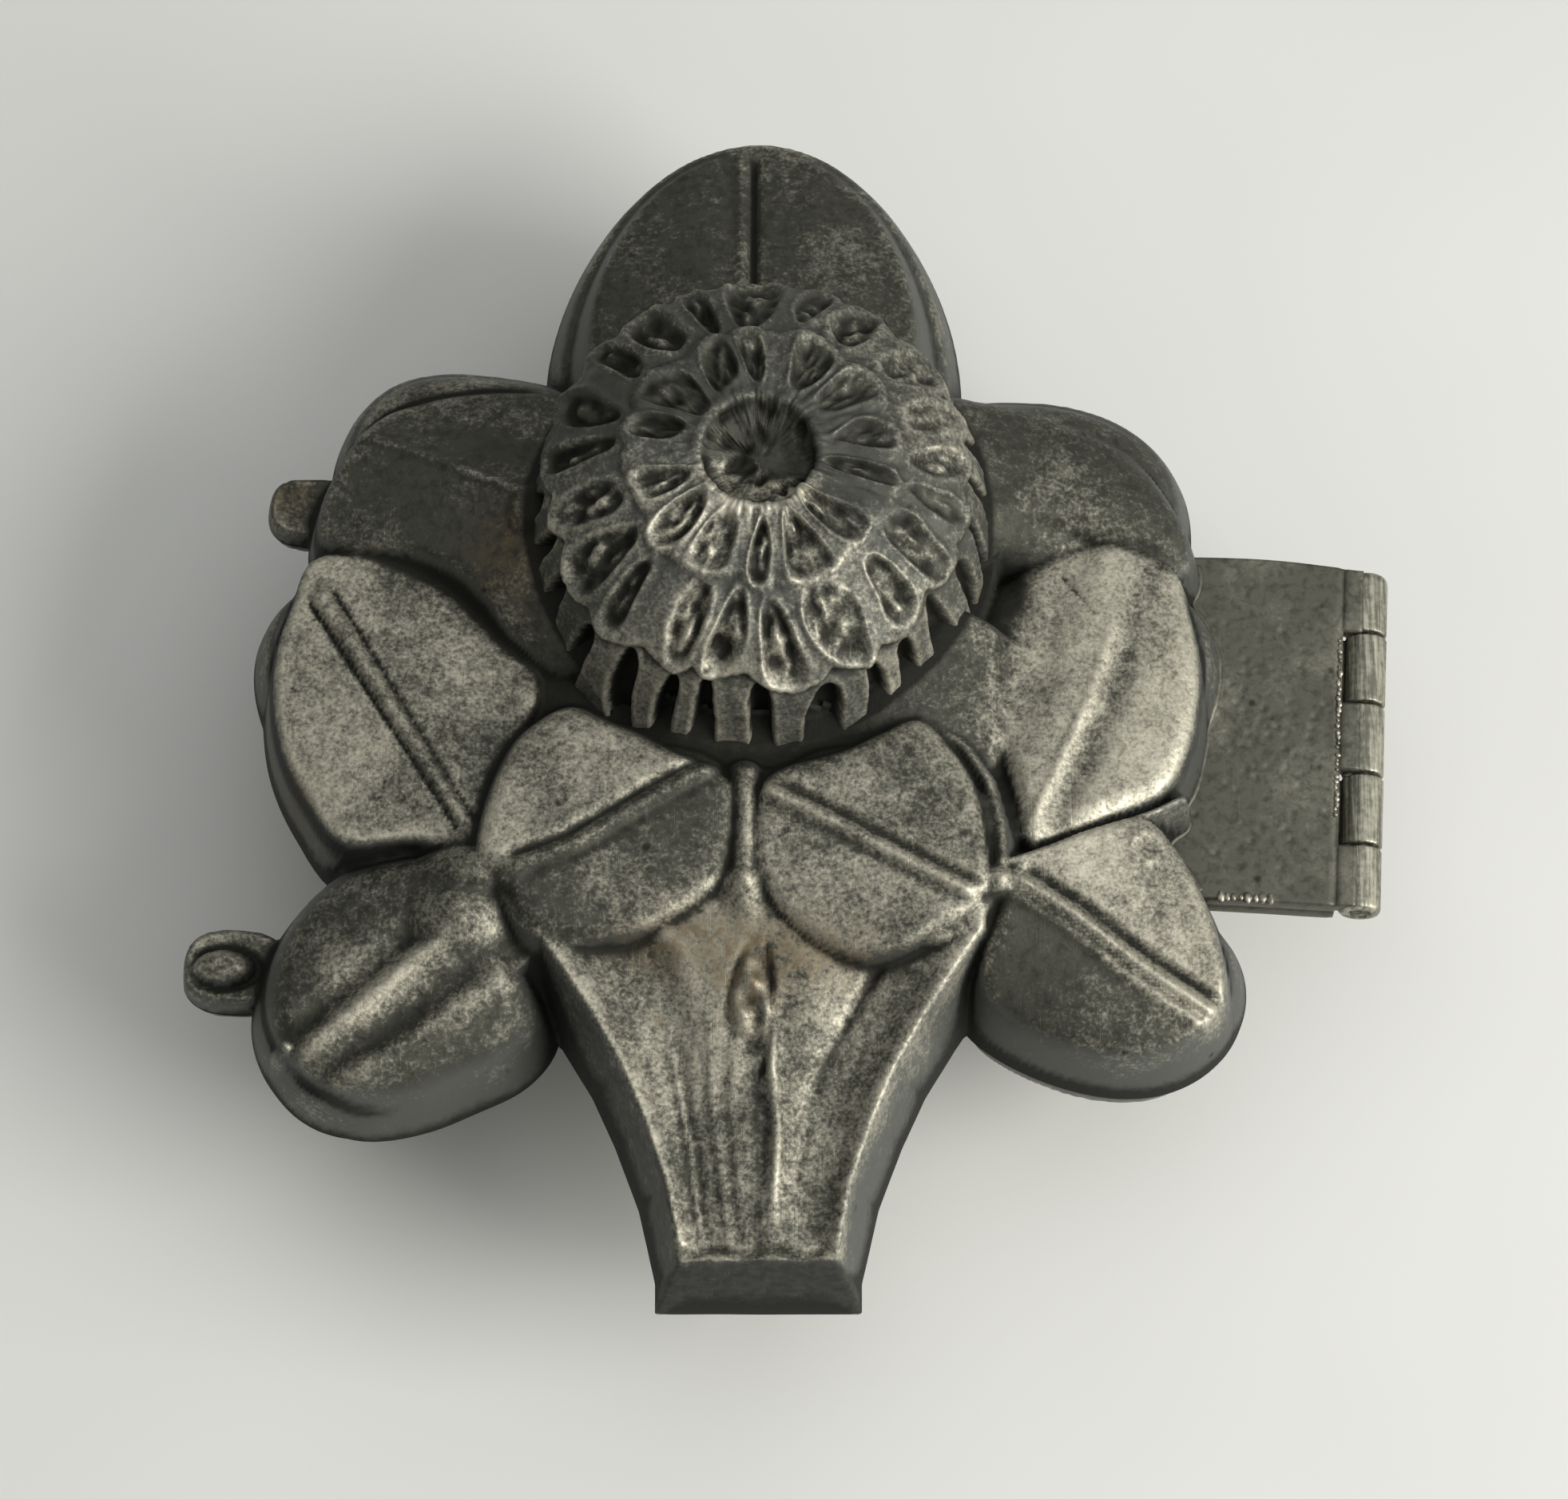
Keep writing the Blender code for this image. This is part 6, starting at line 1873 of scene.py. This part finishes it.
def make_lights() -> None:
    """Soft light from the right of the photograph, and a weaker one overhead."""
    target = Vector((0, 0, 0.02))
    area_light("key", (0.66, -0.27, 0.48), target, 0.55, 7.7, (1.0, 0.985, 0.95))
    area_light("overhead", (0.10, 0.18, 0.95), target, 1.2, 3.0, (0.98, 0.99, 1.0))


def build_object() -> None:
    """All the pieces of the mould on their CAD bodies."""
    group = pewter_group(mottle_group(), scratch_group())
    shell = pewter_material("tarnished_pewter", PewterFinish(), group, masked=True)
    flower = pewter_material("flower_pewter", PewterFinish(rubbed=0.05), group, masked=True)
    plate_finish = PewterFinish(body=(0.105, 0.103, 0.080), rubbed=0.10, relief=0.00002, matt=0.5, contrast=0.35)
    plate = pewter_material("plate_pewter", plate_finish, group, masked=False)
    barrel = brushed_material("barrel_pewter", (0.46, 0.445, 0.35), (0.15, 0.15, 0.12), (2600, 160, 2600), 0.40)
    solder = brushed_material("bright_solder", (0.52, 0.49, 0.40), (0.15, 0.145, 0.115), (900, 900, 900), 0.34)
    wire = brushed_material("pin_wire", (0.26, 0.25, 0.20), (0.07, 0.07, 0.055), (2600, 200, 2600), 0.42)
    ear = EARS["low_ear"]
    spot = ((ear.foot[0] + ear.tip[0]) / 2 - 1.3, ear.foot[1] + 0.3)
    piece(shell_mesh("upper_shell", Side.UPPER, spot), "upper", shell, ["upper_half"])
    piece(shell_mesh("lower_shell", Side.LOWER, None), "lower", shell, ["lower_half"])
    piece(flower_skin(), "upper", flower)
    cone = revolved("locating_cone", ((0.0, -0.8), (CONE_R, -0.8), (CONE_R, 0.0),
                                      (CONE_R * CONE_TAPER, CONE_HEIGHT - 0.55),
                                      (CONE_R * 0.45, CONE_HEIGHT - GAP), (0.0, CONE_HEIGHT - GAP)), 32,
                    Matrix.Translation((spot[0] * MM, spot[1] * MM, PARTING * MM)))
    close_poles(cone)
    piece(cone, "lower", plate)
    build_hinge(plate, barrel, solder, wire)


def build_hinge(plate: bpy.types.Material, barrel: bpy.types.Material, solder: bpy.types.Material,
                wire: bpy.types.Material) -> None:
    """Plates, knuckles, pin, solder line and beads."""
    plan = Plan(PLAN_LOW, PLAN_HIGH, OUTER_STEP)
    spans = knuckle_spans()
    for body, side, mine in (("upper", Side.UPPER, (0, 2, 4)), ("lower", Side.LOWER, (1, 3))):
        shell = outer_relief(plan, side).height
        node = f"{body}_hinge_leaf"
        piece(plate_mesh(f"{body}_plate", side, mine, shell, plan), body, plate, [node])
        rings = []
        for k in mine:
            start, end = spans[k][0] + GAP / 2 * (k > 0), spans[k][1] - GAP / 2 * (k < 4)
            rounds = 0.2 if k else 0.45, 0.2 if k < 4 else 0.9
            rings.append(barrel_mesh(f"{body}_knuckle_{k}", start, end, *rounds, 40 + k))
        piece(joined(f"{body}_knuckles", rings), body, barrel)
        path = junction_path(shell, plan, KNUCKLE_R - 0.1, side)
        slow, quick = np.linspace(1, 21, len(path)), np.linspace(0, 47, len(path))
        radii = 0.30 + 0.06 * np.sin(quick) + 0.05 * np.sin(slow)
        piece(tube_mesh(f"{body}_solder_line", path, radii), body, plate)
        if side is Side.UPPER:
            piece(solder_beads(), body, solder)
    half = HINGE_LENGTH / 2
    outline = ((0.0, -half), (PIN_R * 0.7, -half + 0.02), (PIN_R, -half + 0.25), (PIN_R, half - 0.25),
               (PIN_R * 0.7, half - 0.02), (0.0, half))
    pin = revolved("pin", outline, 40, hinge_place() @ Matrix.Rotation(-math.pi / 2, 4, "X"))
    close_poles(pin)
    piece(pin, "lower", wire, ["hinge_pin"])


def main() -> None:
    """Builds the scene round the frame."""
    logging.basicConfig(level=logging.INFO, format="%(name)s: %(message)s")
    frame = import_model()
    bpy.context.scene.view_settings.view_transform = "Standard"
    LOG.info("the frame has %d entries", len(frame))
    build_object()
    make_floor()
    make_world()
    make_lights()
    make_camera()


if __name__ == "__main__":
    main()
